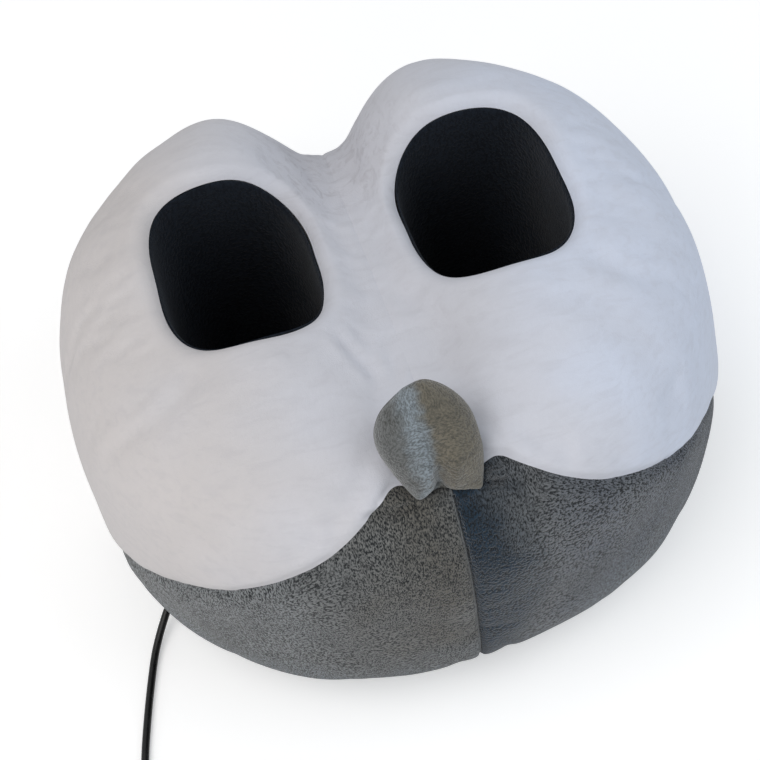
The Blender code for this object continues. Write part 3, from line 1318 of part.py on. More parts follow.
def make_plug(rubber, metal, tongue, gold):
    """The plug: boot, grip, shell, tongue and contacts."""
    frame = plug_frame()
    turn = Matrix.Rotation(math.pi / 2, 4, "Y")
    profile = [(CORD_RADIUS + FIT_GAP, 0), (PLUG_BOOT_RADIUS, PLUG_BOOT_LENGTH * PLUG_TAPER_SHARE),
               (PLUG_BOOT_RADIUS, PLUG_BOOT_LENGTH)]
    smooth(place("plug_boot", turned("plug boot", profile), rubber, frame @ turn))
    grip_start = PLUG_BOOT_LENGTH + FIT_GAP
    grip_end = grip_start + PLUG_GRIP_LENGTH
    size = (PLUG_GRIP_LENGTH, PLUG_GRIP_WIDTH, PLUG_GRIP_HEIGHT)
    grip = rounded_box("grip", size, ((grip_start + grip_end) / 2, 0, 0), PLUG_GRIP_HEIGHT / 4)
    smooth(place("plug_grip", grip, rubber, frame))
    shell_start = grip_end + FIT_GAP
    shell_end = shell_start + PLUG_SHELL_LENGTH
    size = (PLUG_SHELL_LENGTH, PLUG_SHELL_WIDTH, PLUG_SHELL_HEIGHT)
    shell_middle = ((shell_start + shell_end) / 2, 0, 0)
    shell_mesh = rounded_box("shell", size, shell_middle, PLUG_SHELL_WALL / 2, 2)
    shell = place("plug_shell", shell_mesh, metal, frame)
    inner_y, inner_z = PLUG_SHELL_WIDTH / 2 - PLUG_SHELL_WALL, PLUG_SHELL_HEIGHT / 2 - PLUG_SHELL_WALL
    low = (shell_start + PLUG_SHELL_WALL, -inner_y, -inner_z)
    hollow = box_mesh("shell hollow", low, (shell_end + OVERRUN, inner_y, inner_z))
    boolean(shell, cutter("plug shell hollow", hollow, frame), "DIFFERENCE")
    tongue_low = -inner_z + FIT_GAP
    tongue_high = tongue_low + PLUG_TONGUE_HEIGHT
    tongue_start, tongue_end = shell_start + PLUG_SHELL_WALL + FIT_GAP, shell_end - PLUG_SHELL_WALL
    half = PLUG_TONGUE_WIDTH / 2
    mesh = box_mesh("tongue", (tongue_start, -half, tongue_low), (tongue_end, half, tongue_high))
    place("plug_tongue", mesh, tongue, frame)
    for k, share in enumerate(PLUG_CONTACT_SHARES):
        y = half * share
        contact_low = tongue_high + FIT_GAP
        low = (tongue_end - PLUG_CONTACT_LENGTH, y - PLUG_CONTACT_WIDTH / 2, contact_low)
        high = (tongue_end - PLUG_SHELL_WALL, y + PLUG_CONTACT_WIDTH / 2, contact_low + PLUG_CONTACT_HEIGHT)
        place(f"plug_contact_{k + 1}", box_mesh("contact", low, high), gold, frame)


def make_middle():
    """The empty that carries every piece and puts the origin under the middle of the body."""
    far = max(lower_point(x, y, GIRTH_HEIGHT, 0).y for x, y in ring_directions())
    middle = bpy.data.objects.new(BODY_MIDDLE, None)
    bpy.context.scene.collection.objects.link(middle)
    middle.location.y = (HALF_DEPTH - far) / 2
    print(f"the body's pieces lie {1000 * middle.location.y:.2f} mm towards +Y")


def main():
    """Build the whole foot warmer."""
    clear_scene()
    make_middle()
    white = finish("white plush", (0.58, 0.58, 0.66), 0.95)
    grey = finish("grey plush", (0.12, 0.13, 0.15), 0.95)
    lining = finish("dark lining", (0.02, 0.022, 0.03), 0.95)
    filling = finish("fibre filling", (0.85, 0.85, 0.82), 1.0)
    base_cloth = finish("base cloth", (0.05, 0.05, 0.055), 0.9)
    foam = finish("foam", (0.6, 0.6, 0.55), 0.95)
    felt = finish("pad felt", (0.5, 0.5, 0.48), 0.95)
    wire = finish("heating wire", (0.5, 0.02, 0.02), 0.4)
    plastic = finish("black plastic", (0.012, 0.012, 0.013), 0.35)
    rubber = finish("soft black plastic", (0.015, 0.015, 0.016), 0.5)
    tape_cloth = finish("zip tape", (0.3, 0.3, 0.32), 0.9)
    teeth = finish("zip teeth", (0.25, 0.25, 0.27), 0.4)
    metal = finish("plated metal", (0.6, 0.6, 0.62), 0.3, 1.0)
    lens = finish("lamp lens", (0.7, 0.7, 0.65), 0.2)
    board = finish("circuit board", (0.02, 0.14, 0.06), 0.5)
    gold = finish("gilt contact", (0.8, 0.6, 0.25), 0.25, 1.0)
    make_body(white, grey, filling, lining)
    make_layers(base_cloth, foam, felt, wire, plastic, rubber)
    make_tail(grey, filling)
    make_zip(tape_cloth, teeth, metal)
    make_boot(rubber)
    make_cords(rubber)
    make_tie(base_cloth)
    make_controller(plastic, rubber, lens, board, metal, rubber)
    make_plug(rubber, metal, plastic, gold)


main()
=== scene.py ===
import logging
import math
from dataclasses import dataclass, field
from enum import Enum

import bmesh
import bpy
import numpy as np
from mathutils import Matrix, Vector
from mathutils.bvhtree import BVHTree


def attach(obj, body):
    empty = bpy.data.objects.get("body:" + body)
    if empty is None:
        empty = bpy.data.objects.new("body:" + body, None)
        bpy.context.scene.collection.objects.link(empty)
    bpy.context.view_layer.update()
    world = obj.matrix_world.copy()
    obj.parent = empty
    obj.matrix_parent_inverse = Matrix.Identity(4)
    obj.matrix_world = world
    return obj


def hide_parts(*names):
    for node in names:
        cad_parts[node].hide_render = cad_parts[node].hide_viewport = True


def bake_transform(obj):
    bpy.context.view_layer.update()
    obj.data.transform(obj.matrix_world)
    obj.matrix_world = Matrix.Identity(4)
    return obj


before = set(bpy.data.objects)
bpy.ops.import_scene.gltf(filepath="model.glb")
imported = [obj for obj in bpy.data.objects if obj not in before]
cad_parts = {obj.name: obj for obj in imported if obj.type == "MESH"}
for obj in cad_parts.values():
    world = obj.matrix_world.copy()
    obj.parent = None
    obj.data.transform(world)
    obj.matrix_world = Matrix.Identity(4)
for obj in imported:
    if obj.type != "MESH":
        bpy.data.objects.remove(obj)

LOG = logging.getLogger("foot_warmer")
WARMER = "warmer"
BODY_Y = 0.0051436


# Small tools

def select_nothing() -> None:
    """Leave no object selected and none active."""
    if bpy.context.mode != "OBJECT":
        bpy.ops.object.mode_set(mode="OBJECT")
    bpy.ops.object.select_all(action="DESELECT")
    bpy.context.view_layer.objects.active = None


def only(item: bpy.types.Object) -> bpy.types.Object:
    """Make one object the only selected and the active one.

    Args:
        item: the object to work on.

    Returns:
        The same object.
    """
    select_nothing()
    item.select_set(True)
    bpy.context.view_layer.objects.active = item
    return item


def apply_all(item: bpy.types.Object) -> bpy.types.Object:
    """Apply an object's modifiers in their order.

    Args:
        item: the object with the modifiers.

    Returns:
        The same object.
    """
    only(item)
    for modifier in list(item.modifiers):
        bpy.ops.object.modifier_apply(modifier=modifier.name)
    return item


def smooth_step(share: np.ndarray) -> np.ndarray:
    """A smooth step from 0 to 1 over each value's own 0 to 1.

    Args:
        share: values, cut to between 0 and 1.

    Returns:
        The smoothed values.
    """
    share = np.clip(share, 0.0, 1.0)
    return share * share * (3.0 - 2.0 * share)


def points_of(item: bpy.types.Object) -> np.ndarray:
    """The vertices of an object as rows of x, y, z."""
    flat = np.empty(len(item.data.vertices) * 3)
    item.data.vertices.foreach_get("co", flat)
    return flat.reshape(-1, 3)


def set_points(item: bpy.types.Object, points: np.ndarray) -> None:
    """Move an object's vertices to rows of x, y, z."""
    item.data.vertices.foreach_set("co", points.ravel())
    item.data.update()


def normals_of(item: bpy.types.Object) -> np.ndarray:
    """The vertex normals of an object as rows of x, y, z."""
    flat = np.empty(len(item.data.vertices) * 3)
    item.data.vertex_normals.foreach_get("vector", flat)
    return flat.reshape(-1, 3)


def linked(name: str, data: bpy.types.ID) -> bpy.types.Object:
    """A new object with its data, linked to the scene."""
    item = bpy.data.objects.new(name, data)
    bpy.context.scene.collection.objects.link(item)
    return item


def mesh_object(name: str, points: np.ndarray, faces: list) -> bpy.types.Object:
    """An object from points and faces.

    Args:
        name: the piece's name.
        points: rows of x, y, z.
        faces: lists of point numbers.

    Returns:
        The new object, linked to the scene.
    """
    mesh = bpy.data.meshes.new(name)
    mesh.from_pydata([tuple(point) for point in points], [], faces)
    mesh.update()
    return linked(name, mesh)


def band_faces(rings: int, count: int) -> list:
    """Faces between rings of points that follow each other.

    Args:
        rings: how many rings.
        count: how many points each ring has.

    Returns:
        Lists of four point numbers.
    """
    faces = []
    for ring in range(rings - 1):
        for k in range(count):
            here, after = ring * count + k, ring * count + (k + 1) % count
            faces.append([here, after, after + count, here + count])
    return faces


def fan_faces(start: int, count: int, centre: int) -> list:
    """Faces from a ring of points to a point in its middle.

    Args:
        start: the ring's first point.
        count: how many points it has.
        centre: the middle point.

    Returns:
        Lists of three point numbers.
    """
    return [[start + k, start + (k + 1) % count, centre] for k in range(count)]


def thicken(item: bpy.types.Object, thickness: float, offset: float = -1.0) -> None:
    """Give an object a modifier that makes a wall of its surface.

    Args:
        item: the object.
        thickness: the wall's thickness.
        offset: -1 for a wall inside the surface and 1 for one outside it.
    """
    modifier = item.modifiers.new("thickness", "SOLIDIFY")
    modifier.thickness = thickness
    modifier.offset = offset


def smoothed(item: bpy.types.Object) -> bpy.types.Object:
    """Smooth an object once with a subdivision surface, and apply all its modifiers.

    Args:
        item: the object.

    Returns:
        The same object.
    """
    modifier = item.modifiers.new("smoothing", "SUBSURF")
    modifier.levels = modifier.render_levels = 1
    return apply_all(item)


def shade(item: bpy.types.Object, angle: float = 180.0) -> bpy.types.Object:
    """Shade an object smooth, with edges over an angle kept sharp.

    Args:
        item: the object.
        angle: the least angle between two faces, in degrees, that stays a sharp edge.

    Returns:
        The same object.
    """
    only(item)
    if angle >= 180.0:
        bpy.ops.object.shade_smooth()
    else:
        bpy.ops.object.shade_smooth_by_angle(angle=math.radians(angle))
    return item


def put_on(item: bpy.types.Object, material: bpy.types.Material) -> bpy.types.Object:
    """Give an object one material all over.

    Args:
        item: a new piece or a node of the frame.
        material: its finish.

    Returns:
        The same object.
    """
    if not item.material_slots:
        item.data.materials.append(material)
    for slot in item.material_slots:
        slot.material = material
    return item


# Finishes

class Wiring:
    """A shader tree or group with short ways to add and join its nodes."""

    def __init__(self, tree: bpy.types.NodeTree) -> None:
        """Take over a node tree."""
        self.tree = tree

    def add(self, kind: str, values: dict | None = None, **settings: object) -> bpy.types.Node:
        """Add a node.

        Args:
            kind: the node's type, without its ShaderNode prefix.
            values: what goes into its inputs by name or number, a value or another node's output.
            settings: the node's own options.

        Returns:
            The node.
        """
        node = self.tree.nodes.new(kind if kind.startswith("Node") else f"ShaderNode{kind}")
        for option, value in settings.items():
            setattr(node, option, value)
        for key, value in (values or {}).items():
            self.feed(node.inputs[key], value)
        return node

    def feed(self, socket: bpy.types.NodeSocket, value: object) -> None:
        """Give an input a value or join it to an output.

        Args:
            socket: the input.
            value: a number, a colour or another node's output.
        """
        if isinstance(value, bpy.types.NodeSocket):
            self.tree.links.new(value, socket)
        elif isinstance(value, tuple) and len(value) == 3 and socket.type == "RGBA":
            socket.default_value = (*value, 1.0)
        else:
            socket.default_value = value

    def noise(self, vector: bpy.types.NodeSocket, scale: float, detail: float = 2.0,
              distortion: float = 0.0) -> bpy.types.NodeSocket:
        """A noise pattern's value.

        Args:
            vector: where it is read.
            scale: its scale.
            detail: how many finer layers it has.
            distortion: how far it is warped.

        Returns:
            The output with its value.
        """
        values = {"Vector": vector, "Scale": scale, "Detail": detail, "Distortion": distortion}
        return self.add("TexNoise", values).outputs["Fac"]

    def spread(self, value: object, low: float, high: float, to_low: float = 0.0,
               to_high: float = 1.0) -> bpy.types.NodeSocket:
        """A value spread from one range to another and cut there.

        Args:
            value: the value.
            low: what becomes to_low.
            high: what becomes to_high.
            to_low: the new range's start.
            to_high: the new range's end.

        Returns:
            The output with the new value.
        """
        values = {"Value": value, "From Min": low, "From Max": high, "To Min": to_low, "To Max": to_high}
        return self.add("MapRange", values, interpolation_type="SMOOTHSTEP").outputs["Result"]

    def math(self, operation: str, first: object, second: object = 0.0) -> bpy.types.NodeSocket:
        """A sum on one or two values.

        Args:
            operation: the kind of sum.
            first: the first value.
            second: the second value.

        Returns:
            The output with the result.
        """
        return self.add("Math", {0: first, 1: second}, operation=operation).outputs[0]

    def mix(self, share: object, first: object, second: object) -> bpy.types.NodeSocket:
        """A colour between two colours.

        Args:
            share: how far towards the second, from 0 to 1.
            first: the first colour.
            second: the second colour.

        Returns:
            The output with the colour.
        """
        node = self.add("Mix", data_type="RGBA")
        self.feed(node.inputs[0], share)
        self.feed(node.inputs[6], first)
        self.feed(node.inputs[7], second)
        return node.outputs[2]

    def product(self, *values: object) -> bpy.types.NodeSocket:
        """Two or more values multiplied together."""
        result = values[0]
        for value in values[1:]:
            result = self.math("MULTIPLY", result, value)
        return result

    def total(self, *values: object) -> bpy.types.NodeSocket:
        """Two or more values added together."""
        result = values[0]
        for value in values[1:]:
            result = self.math("ADD", result, value)
        return result

    def place_group(self, group: bpy.types.NodeTree, vector: object, **values: float) -> bpy.types.Node:
        """Place a shared effect.

        Args:
            group: the effect's group.
            vector: where it is read.
            values: its other inputs, with an underscore for a space in their names.

        Returns:
            The group's node.
        """
        inputs = {"Vector": vector, **{word.replace("_", " "): value for word, value in values.items()}}
        node = self.add("Group", node_tree=group)
        for word, value in inputs.items():
            self.feed(node.inputs[word], value)
        return node

    def relief(self, shader: bpy.types.Node, strength: float, distance: float, height: object) -> None:
        """Give a shader's surface a relief.

        Args:
            shader: the shader.
            strength: how much of the relief is felt.
            distance: its depth in metres.
            height: the output with its height.
        """
        bump = self.add("Bump", {"Strength": strength, "Distance": distance, "Height": height})
        self.feed(shader.inputs["Normal"], bump.outputs[0])

    def seen(self) -> bpy.types.NodeSocket:
        """1 for what the camera sees directly, in a mirror or through glass, and 0 for other light."""
        path = self.add("LightPath")
        direct = self.math("MAXIMUM", path.outputs["Is Camera Ray"], path.outputs["Is Glossy Ray"])
        return self.math("MAXIMUM", direct, path.outputs["Is Transmission Ray"])

    def stretched(self, vector: object, scale: object) -> bpy.types.NodeSocket:
        """Coordinates times a scale for each direction.

        Args:
            vector: the coordinates.
            scale: a factor along each of x, y and z, or the output with them.

        Returns:
            The output with the new coordinates.
        """
        return self.add("VectorMath", {0: vector, 1: scale}, operation="MULTIPLY").outputs[0]


class Effects:
    """The patterns that more than one finish shares, each built once as a node group."""

    made: dict = {}

    @classmethod
    def group(cls, name: str, inputs: tuple, outputs: tuple, build: object) -> bpy.types.NodeTree:
        """A group by name, built the first time that it is asked for.

        Args:
            name: the group's name.
            inputs: the names of its inputs, all numbers but the vector.
            outputs: the names of its outputs, all numbers.
            build: what fills the group, given its wiring, its inputs and its outputs.

        Returns:
            The group.
        """
        if name not in cls.made:
            tree = bpy.data.node_groups.new(name, "ShaderNodeTree")
            for way, words in (("INPUT", inputs), ("OUTPUT", outputs)):
                for word in words:
                    kind = "NodeSocketVector" if word == "Vector" else "NodeSocketFloat"
                    tree.interface.new_socket(name=word, in_out=way, socket_type=kind)
            wiring = Wiring(tree)
            build(wiring, wiring.add("NodeGroupInput").outputs, wiring.add("NodeGroupOutput"))
            cls.made[name] = tree
        return cls.made[name]

    @classmethod
    def brushed_pile(cls) -> bpy.types.NodeTree:
        """Marks of brushed pile: short dabs that change their way, long faint streaks, fuzz and clouds."""
        def build(w: Wiring, given: object, result: bpy.types.Node) -> None:
            bend = w.add("TexNoise", {"Vector": given["Vector"], "Scale": 40.0, "Detail": 1.0}).outputs["Color"]
            shift = w.stretched(bend, (0.004, 0.004, 0.004))
            warped = w.add("VectorMath", {0: given["Vector"], 1: shift}, operation="ADD").outputs[0]
            sized = w.add("VectorMath", {0: warped}, operation="SCALE")
            w.feed(sized.inputs["Scale"], given["Dab Scale"])
            length = given["Dab Length"]
            ways = []
            for order in ((1.0, length, length), (length, 1.0, length)):
                stretch = w.add("CombineXYZ", {0: order[0], 1: order[1], 2: order[2]}).outputs[0]
                ways.append(w.noise(w.stretched(sized.outputs[0], stretch), 1.0, 2.0))
            way = w.spread(w.noise(given["Vector"], 14.0, 1.0), 0.44, 0.56)
            dabs = w.add("Mix", data_type="FLOAT")
            w.feed(dabs.inputs[0], way)
            w.feed(dabs.inputs[2], ways[0])
            w.feed(dabs.inputs[3], ways[1])
            w.feed(result.inputs["Dabs"], w.spread(dabs.outputs[0], 0.38, 0.62))
            streaks = w.noise(w.stretched(warped, (0.10, 0.45, 1.0)), 330.0, 3.0, 0.6)
            w.feed(result.inputs["Streaks"], w.spread(streaks, 0.45, 0.72))
            w.feed(result.inputs["Fuzz"], w.noise(given["Vector"], 1500.0, 2.0))
            w.feed(result.inputs["Clouds"], w.spread(w.noise(given["Vector"], 16.0, 3.0, 0.5), 0.32, 0.68))

        outputs = ("Dabs", "Streaks", "Fuzz", "Clouds")
        return cls.group("brushed pile", ("Vector", "Dab Scale", "Dab Length"), outputs, build)

    @classmethod
    def drift(cls) -> bpy.types.NodeTree:
        """How far a place lies to the right, in the middle, low down and in the far valley, with wandering edges: the
        masks that lay the plush's painted light, sheen and shade.
        """
        def build(w: Wiring, given: object, result: bpy.types.Node) -> None:
            parts = w.add("SeparateXYZ", {0: given["Vector"]})
            size = w.math("DIVIDE", 1.6, given["Reach"])
            wander = w.product(w.math("SUBTRACT", w.noise(given["Vector"], size, 2.0), 0.5), given["Reach"])
            across = w.total(parts.outputs["X"], wander)
            aside = w.math("SUBTRACT", across, given["Middle"])
            w.feed(result.inputs["Right"], w.spread(w.math("DIVIDE", aside, given["Reach"]), -0.2, 1.0))
            middle = w.math("DIVIDE", w.math("ABSOLUTE", aside), given["Reach"])
            w.feed(result.inputs["Centre"], w.spread(middle, 0.0, 1.0, 1.0, 0.0))
            w.feed(result.inputs["Low"], w.spread(w.total(parts.outputs["Z"], wander), 0.02, 0.085, 1.0, 0.0))
            beyond = w.spread(w.total(parts.outputs["Y"], wander), 0.02, 0.11)
            inside = w.spread(w.math("ABSOLUTE", parts.outputs["X"]), 0.015, 0.055, 1.0, 0.0)
            high = w.spread(parts.outputs["Z"], 0.11, 0.17)
            w.feed(result.inputs["Valley"], w.product(beyond, inside, high))

        outputs = ("Right", "Centre", "Low", "Valley")
        return cls.group("drift", ("Vector", "Middle", "Reach"), outputs, build)

    @classmethod
    def middle_seam(cls) -> bpy.types.NodeTree:
        """Beside a seam at x = 0: a painted highlight on the thin raised edge on its left, the darker nap on its
        right and the dark gap between.
        """
        def build(w: Wiring, given: object, result: bpy.types.Node) -> None:
            across = w.add("SeparateXYZ", {0: given["Vector"]}).outputs["X"]
            wander = w.math("SUBTRACT", w.noise(given["Vector"], 30.0, 2.0), 0.5)
            fade = w.total(across, w.product(wander, 0.05))
            right = w.spread(across, -0.0003, 0.0004)
            w.feed(result.inputs["Dark"], w.product(right, w.spread(fade, 0.012, 0.052, 1.0, 0.0)))
            left = w.product(w.spread(across, -0.0016, -0.0009), w.spread(across, -0.0005, -0.0001, 1.0, 0.0))
            w.feed(result.inputs["Edge"], left)
            w.feed(result.inputs["Gap"], w.spread(w.math("ABSOLUTE", across), 0.0002, 0.0009, 1.0, 0.0))

        return cls.group("middle seam", ("Vector",), ("Dark", "Edge", "Gap"), build)

    @classmethod
    def moulding_grain(cls) -> bpy.types.NodeTree:
        """The fine texture of moulded plastic, with faint handling marks."""
        def build(w: Wiring, given: object, result: bpy.types.Node) -> None:
            w.feed(result.inputs["Grain"], w.noise(given["Vector"], 5200.0, 1.0))
            marks = w.noise(w.stretched(given["Vector"], (1.0, 0.35, 1.0)), 240.0, 4.0, 0.4)
            w.feed(result.inputs["Marks"], w.spread(marks, 0.48, 0.72))

        return cls.group("moulding grain", ("Vector",), ("Grain", "Marks"), build)

    @classmethod
    def plain_weave(cls) -> bpy.types.NodeTree:
        """Threads over and under each other, read on two directions across the cloth."""
        def build(w: Wiring, given: object, result: bpy.types.Node) -> None:
            parts = w.add("SeparateXYZ", {0: given["Vector"]})
            x, y, z = (w.math("SINE", w.product(parts.outputs[axis], given["Threads"])) for axis in "XYZ")
            w.feed(result.inputs["Threads"], w.spread(w.total(w.product(x, y), w.product(x, z)), -1.2, 1.2))
            w.feed(result.inputs["Fuzz"], w.noise(given["Vector"], 900.0, 3.0))

        return cls.group("plain weave", ("Vector", "Threads"), ("Threads", "Fuzz"), build)


@dataclass(frozen=True)
class Finish:
    """What every finish has: a name and a base colour."""

    name: str
    colour: tuple

    def start(self) -> tuple:
        """A new material with its wiring, its shader and its object coordinates.

        Returns:
            The material, the wiring, the shader node and the coordinates' output.
        """
        material = bpy.data.materials.new(self.name)
        material.use_nodes = True
        wiring = Wiring(material.node_tree)
        shader = material.node_tree.nodes["Principled BSDF"]
        where = wiring.add("TexCoord").outputs["Object"]
        return material, wiring, shader, where


@dataclass(frozen=True)
class Plush(Finish):
    """Short-pile plush with brushed marks.

    The shade lies in the marks. The centre and right colours are those towards the middle and the
    right of the piece, whose place and reach the drift gives in metres; on the white, grey and tail
    plush they are painted light and shade. The low colour is painted sheen low down, and the valley
    share adds painted shade in the far valley between the lobes.
    """

    shade: tuple = (0.1, 0.1, 0.1)
    centre: tuple = (0.1, 0.1, 0.1)
    right: tuple = (0.1, 0.1, 0.1)
    drift: tuple = (0.0, 0.1)
    marks: float = 0.5
    streaks: float = 0.1
    clouds: float = 0.5
    dab_scale: float = 520.0
    dab_length: float = 0.5
    pile: float = 0.0012
    sheen: float = 0.25
    seam: float = 0.0
    # low: painted sheen, a lighter colour towards the floor
    low: tuple | None = None
    # valley: how much painted shade lies in the far valley between the lobes
    valley: float = 0.0

    def make(self) -> bpy.types.Material:
        """The plush's material."""
        material, w, shader, where = self.start()
        group = w.place_group(Effects.brushed_pile(), where, Dab_Scale=self.dab_scale, Dab_Length=self.dab_length)
        dabs, streaks, fuzz, clouds = (group.outputs[word] for word in ("Dabs", "Streaks", "Fuzz", "Clouds"))
        place = w.place_group(Effects.drift(), where, Middle=self.drift[0], Reach=self.drift[1])
        # Painted light and shade: the colour drifts to the centre and right colours across the piece.
        slow = w.mix(place.outputs["Right"], self.colour, self.right)
        slow = w.mix(place.outputs["Centre"], slow, self.centre)
        dull = tuple(0.72 * value for value in self.colour)
        slow = w.mix(w.product(clouds, self.clouds), slow, dull)
        # Painted sheen: a lighter, bluer colour low down.
        if self.low:
            slow = w.mix(w.product(place.outputs["Low"], 0.75), slow, self.low)
        beside = None
        if self.seam:
            beside = w.place_group(Effects.middle_seam(), where)
            deep = tuple(value * tint for value, tint in zip(self.right, (0.12, 0.24, 0.34)))
            slow = w.mix(w.product(beside.outputs["Dark"], self.seam), slow, deep)
        marks = w.total(w.product(dabs, self.marks), w.product(streaks, self.streaks))
        # Painted shade in the far valley, broken by the nap's streaks.
        if self.valley:
            valley_shade = w.total(w.product(streaks, 0.5), 0.5)
            marks = w.total(marks, w.product(valley_shade, place.outputs["Valley"], self.valley))
        colour = w.mix(marks, slow, self.shade)
        if beside:
            # Painted highlight on the thin raised edge left of the middle seam.
            colour = w.mix(w.product(beside.outputs["Edge"], 0.5 * self.seam), colour, self.colour)
            colour = w.mix(w.product(beside.outputs["Gap"], 0.6 * self.seam), colour, self.shade)
        w.feed(shader.inputs["Base Color"], colour)
        w.relief(shader, 0.6, self.pile, w.total(w.product(marks, -1.0), w.product(fuzz, 0.35)))
        w.feed(shader.inputs["Roughness"], w.spread(fuzz, 0.2, 0.8, 0.88, 1.0))
        shader.inputs["Specular IOR Level"].default_value = 0.12
        shader.inputs["Sheen Weight"].default_value = self.sheen
        shader.inputs["Sheen Roughness"].default_value = 0.45
        return material


@dataclass(frozen=True)
class Moulded(Finish):
    """Moulded plastic or rubber with a fine grain and faint handling marks."""

    roughness: float = 0.4
    grain: float = 0.00006
    metallic: float = 0.0
    specular: float = 0.5

    def make(self) -> bpy.types.Material:
        """The plastic's material."""
        material, w, shader, where = self.start()
        group = w.place_group(Effects.moulding_grain(), where)
        marks = group.outputs["Marks"]
        lighter = tuple(min(1.0, c * 1.6 + 0.01) for c in self.colour)
        w.feed(shader.inputs["Base Color"], w.mix(w.product(marks, 0.3), self.colour, lighter))
        low, high = self.roughness, min(1.0, self.roughness + 0.16)
        w.feed(shader.inputs["Roughness"], w.spread(marks, 0.0, 1.0, low, high))
        w.relief(shader, 0.5, self.grain, group.outputs["Grain"])
        shader.inputs["Metallic"].default_value = self.metallic
        shader.inputs["Specular IOR Level"].default_value = self.specular
        return material


@dataclass(frozen=True)
class Woven(Finish):
    """Woven or knitted cloth with threads at a pitch in metres."""

    pitch: float = 0.0008
    relief: float = 0.0003
    roughness: float = 0.85

    def make(self) -> bpy.types.Material:
        """The cloth's material."""
        material, w, shader, where = self.start()
        group = w.place_group(Effects.plain_weave(), where, Threads=2.0 * math.pi / self.pitch)
        threads, fuzz = group.outputs["Threads"], group.outputs["Fuzz"]
        dark = tuple(c * 0.45 for c in self.colour)
        colour = w.mix(threads, dark, self.colour)
        pale = tuple(min(1.0, c * 1.3 + 0.02) for c in self.colour)
        w.feed(shader.inputs["Base Color"], w.mix(w.product(fuzz, 0.5), colour, pale))
        w.relief(shader, 0.7, self.relief, w.total(threads, w.product(fuzz, 0.4)))
        w.feed(shader.inputs["Roughness"], w.spread(fuzz, 0.0, 1.0, self.roughness - 0.1, self.roughness + 0.1))
        shader.inputs["Specular IOR Level"].default_value = 0.25
        return material


class Palette:
    """The finishes of the foot warmer, each made once."""

    # Painted light: warm grey on the left, cooler lavender in the middle and lighter blue to the right, for the warm
    # key lamp and the cool fill; valley lays painted shade in the far valley.
    WHITE = Plush("white_plush", (0.640, 0.608, 0.604), shade=(0.44, 0.43, 0.46), centre=(0.645, 0.655, 0.715),
                  right=(0.66, 0.71, 0.83), drift=(-0.01, 0.15), marks=0.04, streaks=0.13, clouds=0.12,
                  dab_scale=420.0, dab_length=0.4, pile=0.0008, sheen=0.15, valley=0.60)
    # Painted light and shade: the grey is lighter on the far left, where the key lamp falls, darker brownish in the
    # middle and darker blue on the right; low is painted sheen, a lighter, bluer grey towards the floor.
    GREY = Plush("grey_plush", (0.255, 0.270, 0.278), shade=(0.008, 0.010, 0.012), centre=(0.138, 0.130, 0.112),
                 right=(0.130, 0.146, 0.176), drift=(-0.02, 0.10), marks=0.92, streaks=0.08, clouds=0.60,
                 dab_scale=1400.0, dab_length=0.42, pile=0.0012, sheen=0.35, seam=1.0,
                 low=(0.235, 0.275, 0.305))
    # Painted light and shade: a lit bluish band left of the crease and a darker brown facet right of it, for the
    # crease's light and shade; the edges keep the tail's own grey.
    TAIL = Plush("tail_plush", (0.165, 0.172, 0.172), shade=(0.045, 0.046, 0.042), centre=(0.300, 0.350, 0.390),
                 right=(0.185, 0.165, 0.125), drift=(-0.012, 0.011), marks=0.55, streaks=0.30, clouds=0.20,
                 dab_scale=1500.0, dab_length=0.42, pile=0.0009, sheen=0.5)
    # Near-black: partly the fleece's own dark grey, partly painted shade deep inside the pockets.
    LINING = Plush("dark_lining", (0.014, 0.019, 0.028), shade=(0.005, 0.006, 0.009), centre=(0.013, 0.018, 0.027),
                   right=(0.013, 0.018, 0.027), marks=0.6, clouds=0.5, dab_scale=700.0, dab_length=0.5,
                   pile=0.0012, sheen=0.06)
    CORD = Moulded("cord_jacket", (0.004, 0.004, 0.004), roughness=0.26, grain=0.00003, specular=0.28)
    SHELL = Moulded("controller_shell", (0.013, 0.013, 0.014), roughness=0.42)
    RUBBER = Moulded("soft_rubber", (0.018, 0.018, 0.019), roughness=0.6)
    METAL = Moulded("plated_metal", (0.43, 0.43, 0.45), roughness=0.32, grain=0.00002, metallic=1.0)
    GOLD = Moulded("gilt_contact", (0.83, 0.62, 0.26), roughness=0.25, grain=0.00001, metallic=1.0)
    TEETH = Moulded("zip_teeth", (0.10, 0.105, 0.115), roughness=0.45)
    LENS = Moulded("lamp_lens", (0.55, 0.60, 0.52), roughness=0.15)
    BOARD = Moulded("circuit_board", (0.02, 0.14, 0.06), roughness=0.45)
    TAPE = Woven("zip_tape", (0.13, 0.135, 0.145), pitch=0.0011, relief=0.00025)
    BASE = Woven("base_cloth", (0.030, 0.031, 0.034), pitch=0.0016, relief=0.0004)
    FOAM = Moulded("sole_foam", (0.55, 0.54, 0.48), roughness=0.9, grain=0.0004)
    FELT = Woven("pad_felt", (0.42, 0.42, 0.40), pitch=0.0024, relief=0.0004)
    WIRE = Moulded("heating_wire", (0.36, 0.03, 0.03), roughness=0.4)
    FIBRE = Plush("fibre_filling", (0.80, 0.80, 0.77), shade=(0.62, 0.62, 0.60), centre=(0.78, 0.78, 0.75),
                  right=(0.80, 0.80, 0.77), marks=0.5, clouds=0.4, dab_scale=260.0, dab_length=0.3,
                  pile=0.002, sheen=0.1)

    made: dict = {}

    @classmethod
    def get(cls, finish: Finish) -> bpy.types.Material:
        """The material of a finish.

        Args:
            finish: one of the palette's finishes.

        Returns:
            Its material, made the first time that it is asked for.
        """
        if finish.name not in cls.made:
            cls.made[finish.name] = finish.make()
        return cls.made[finish.name]


# Camera, floor and light

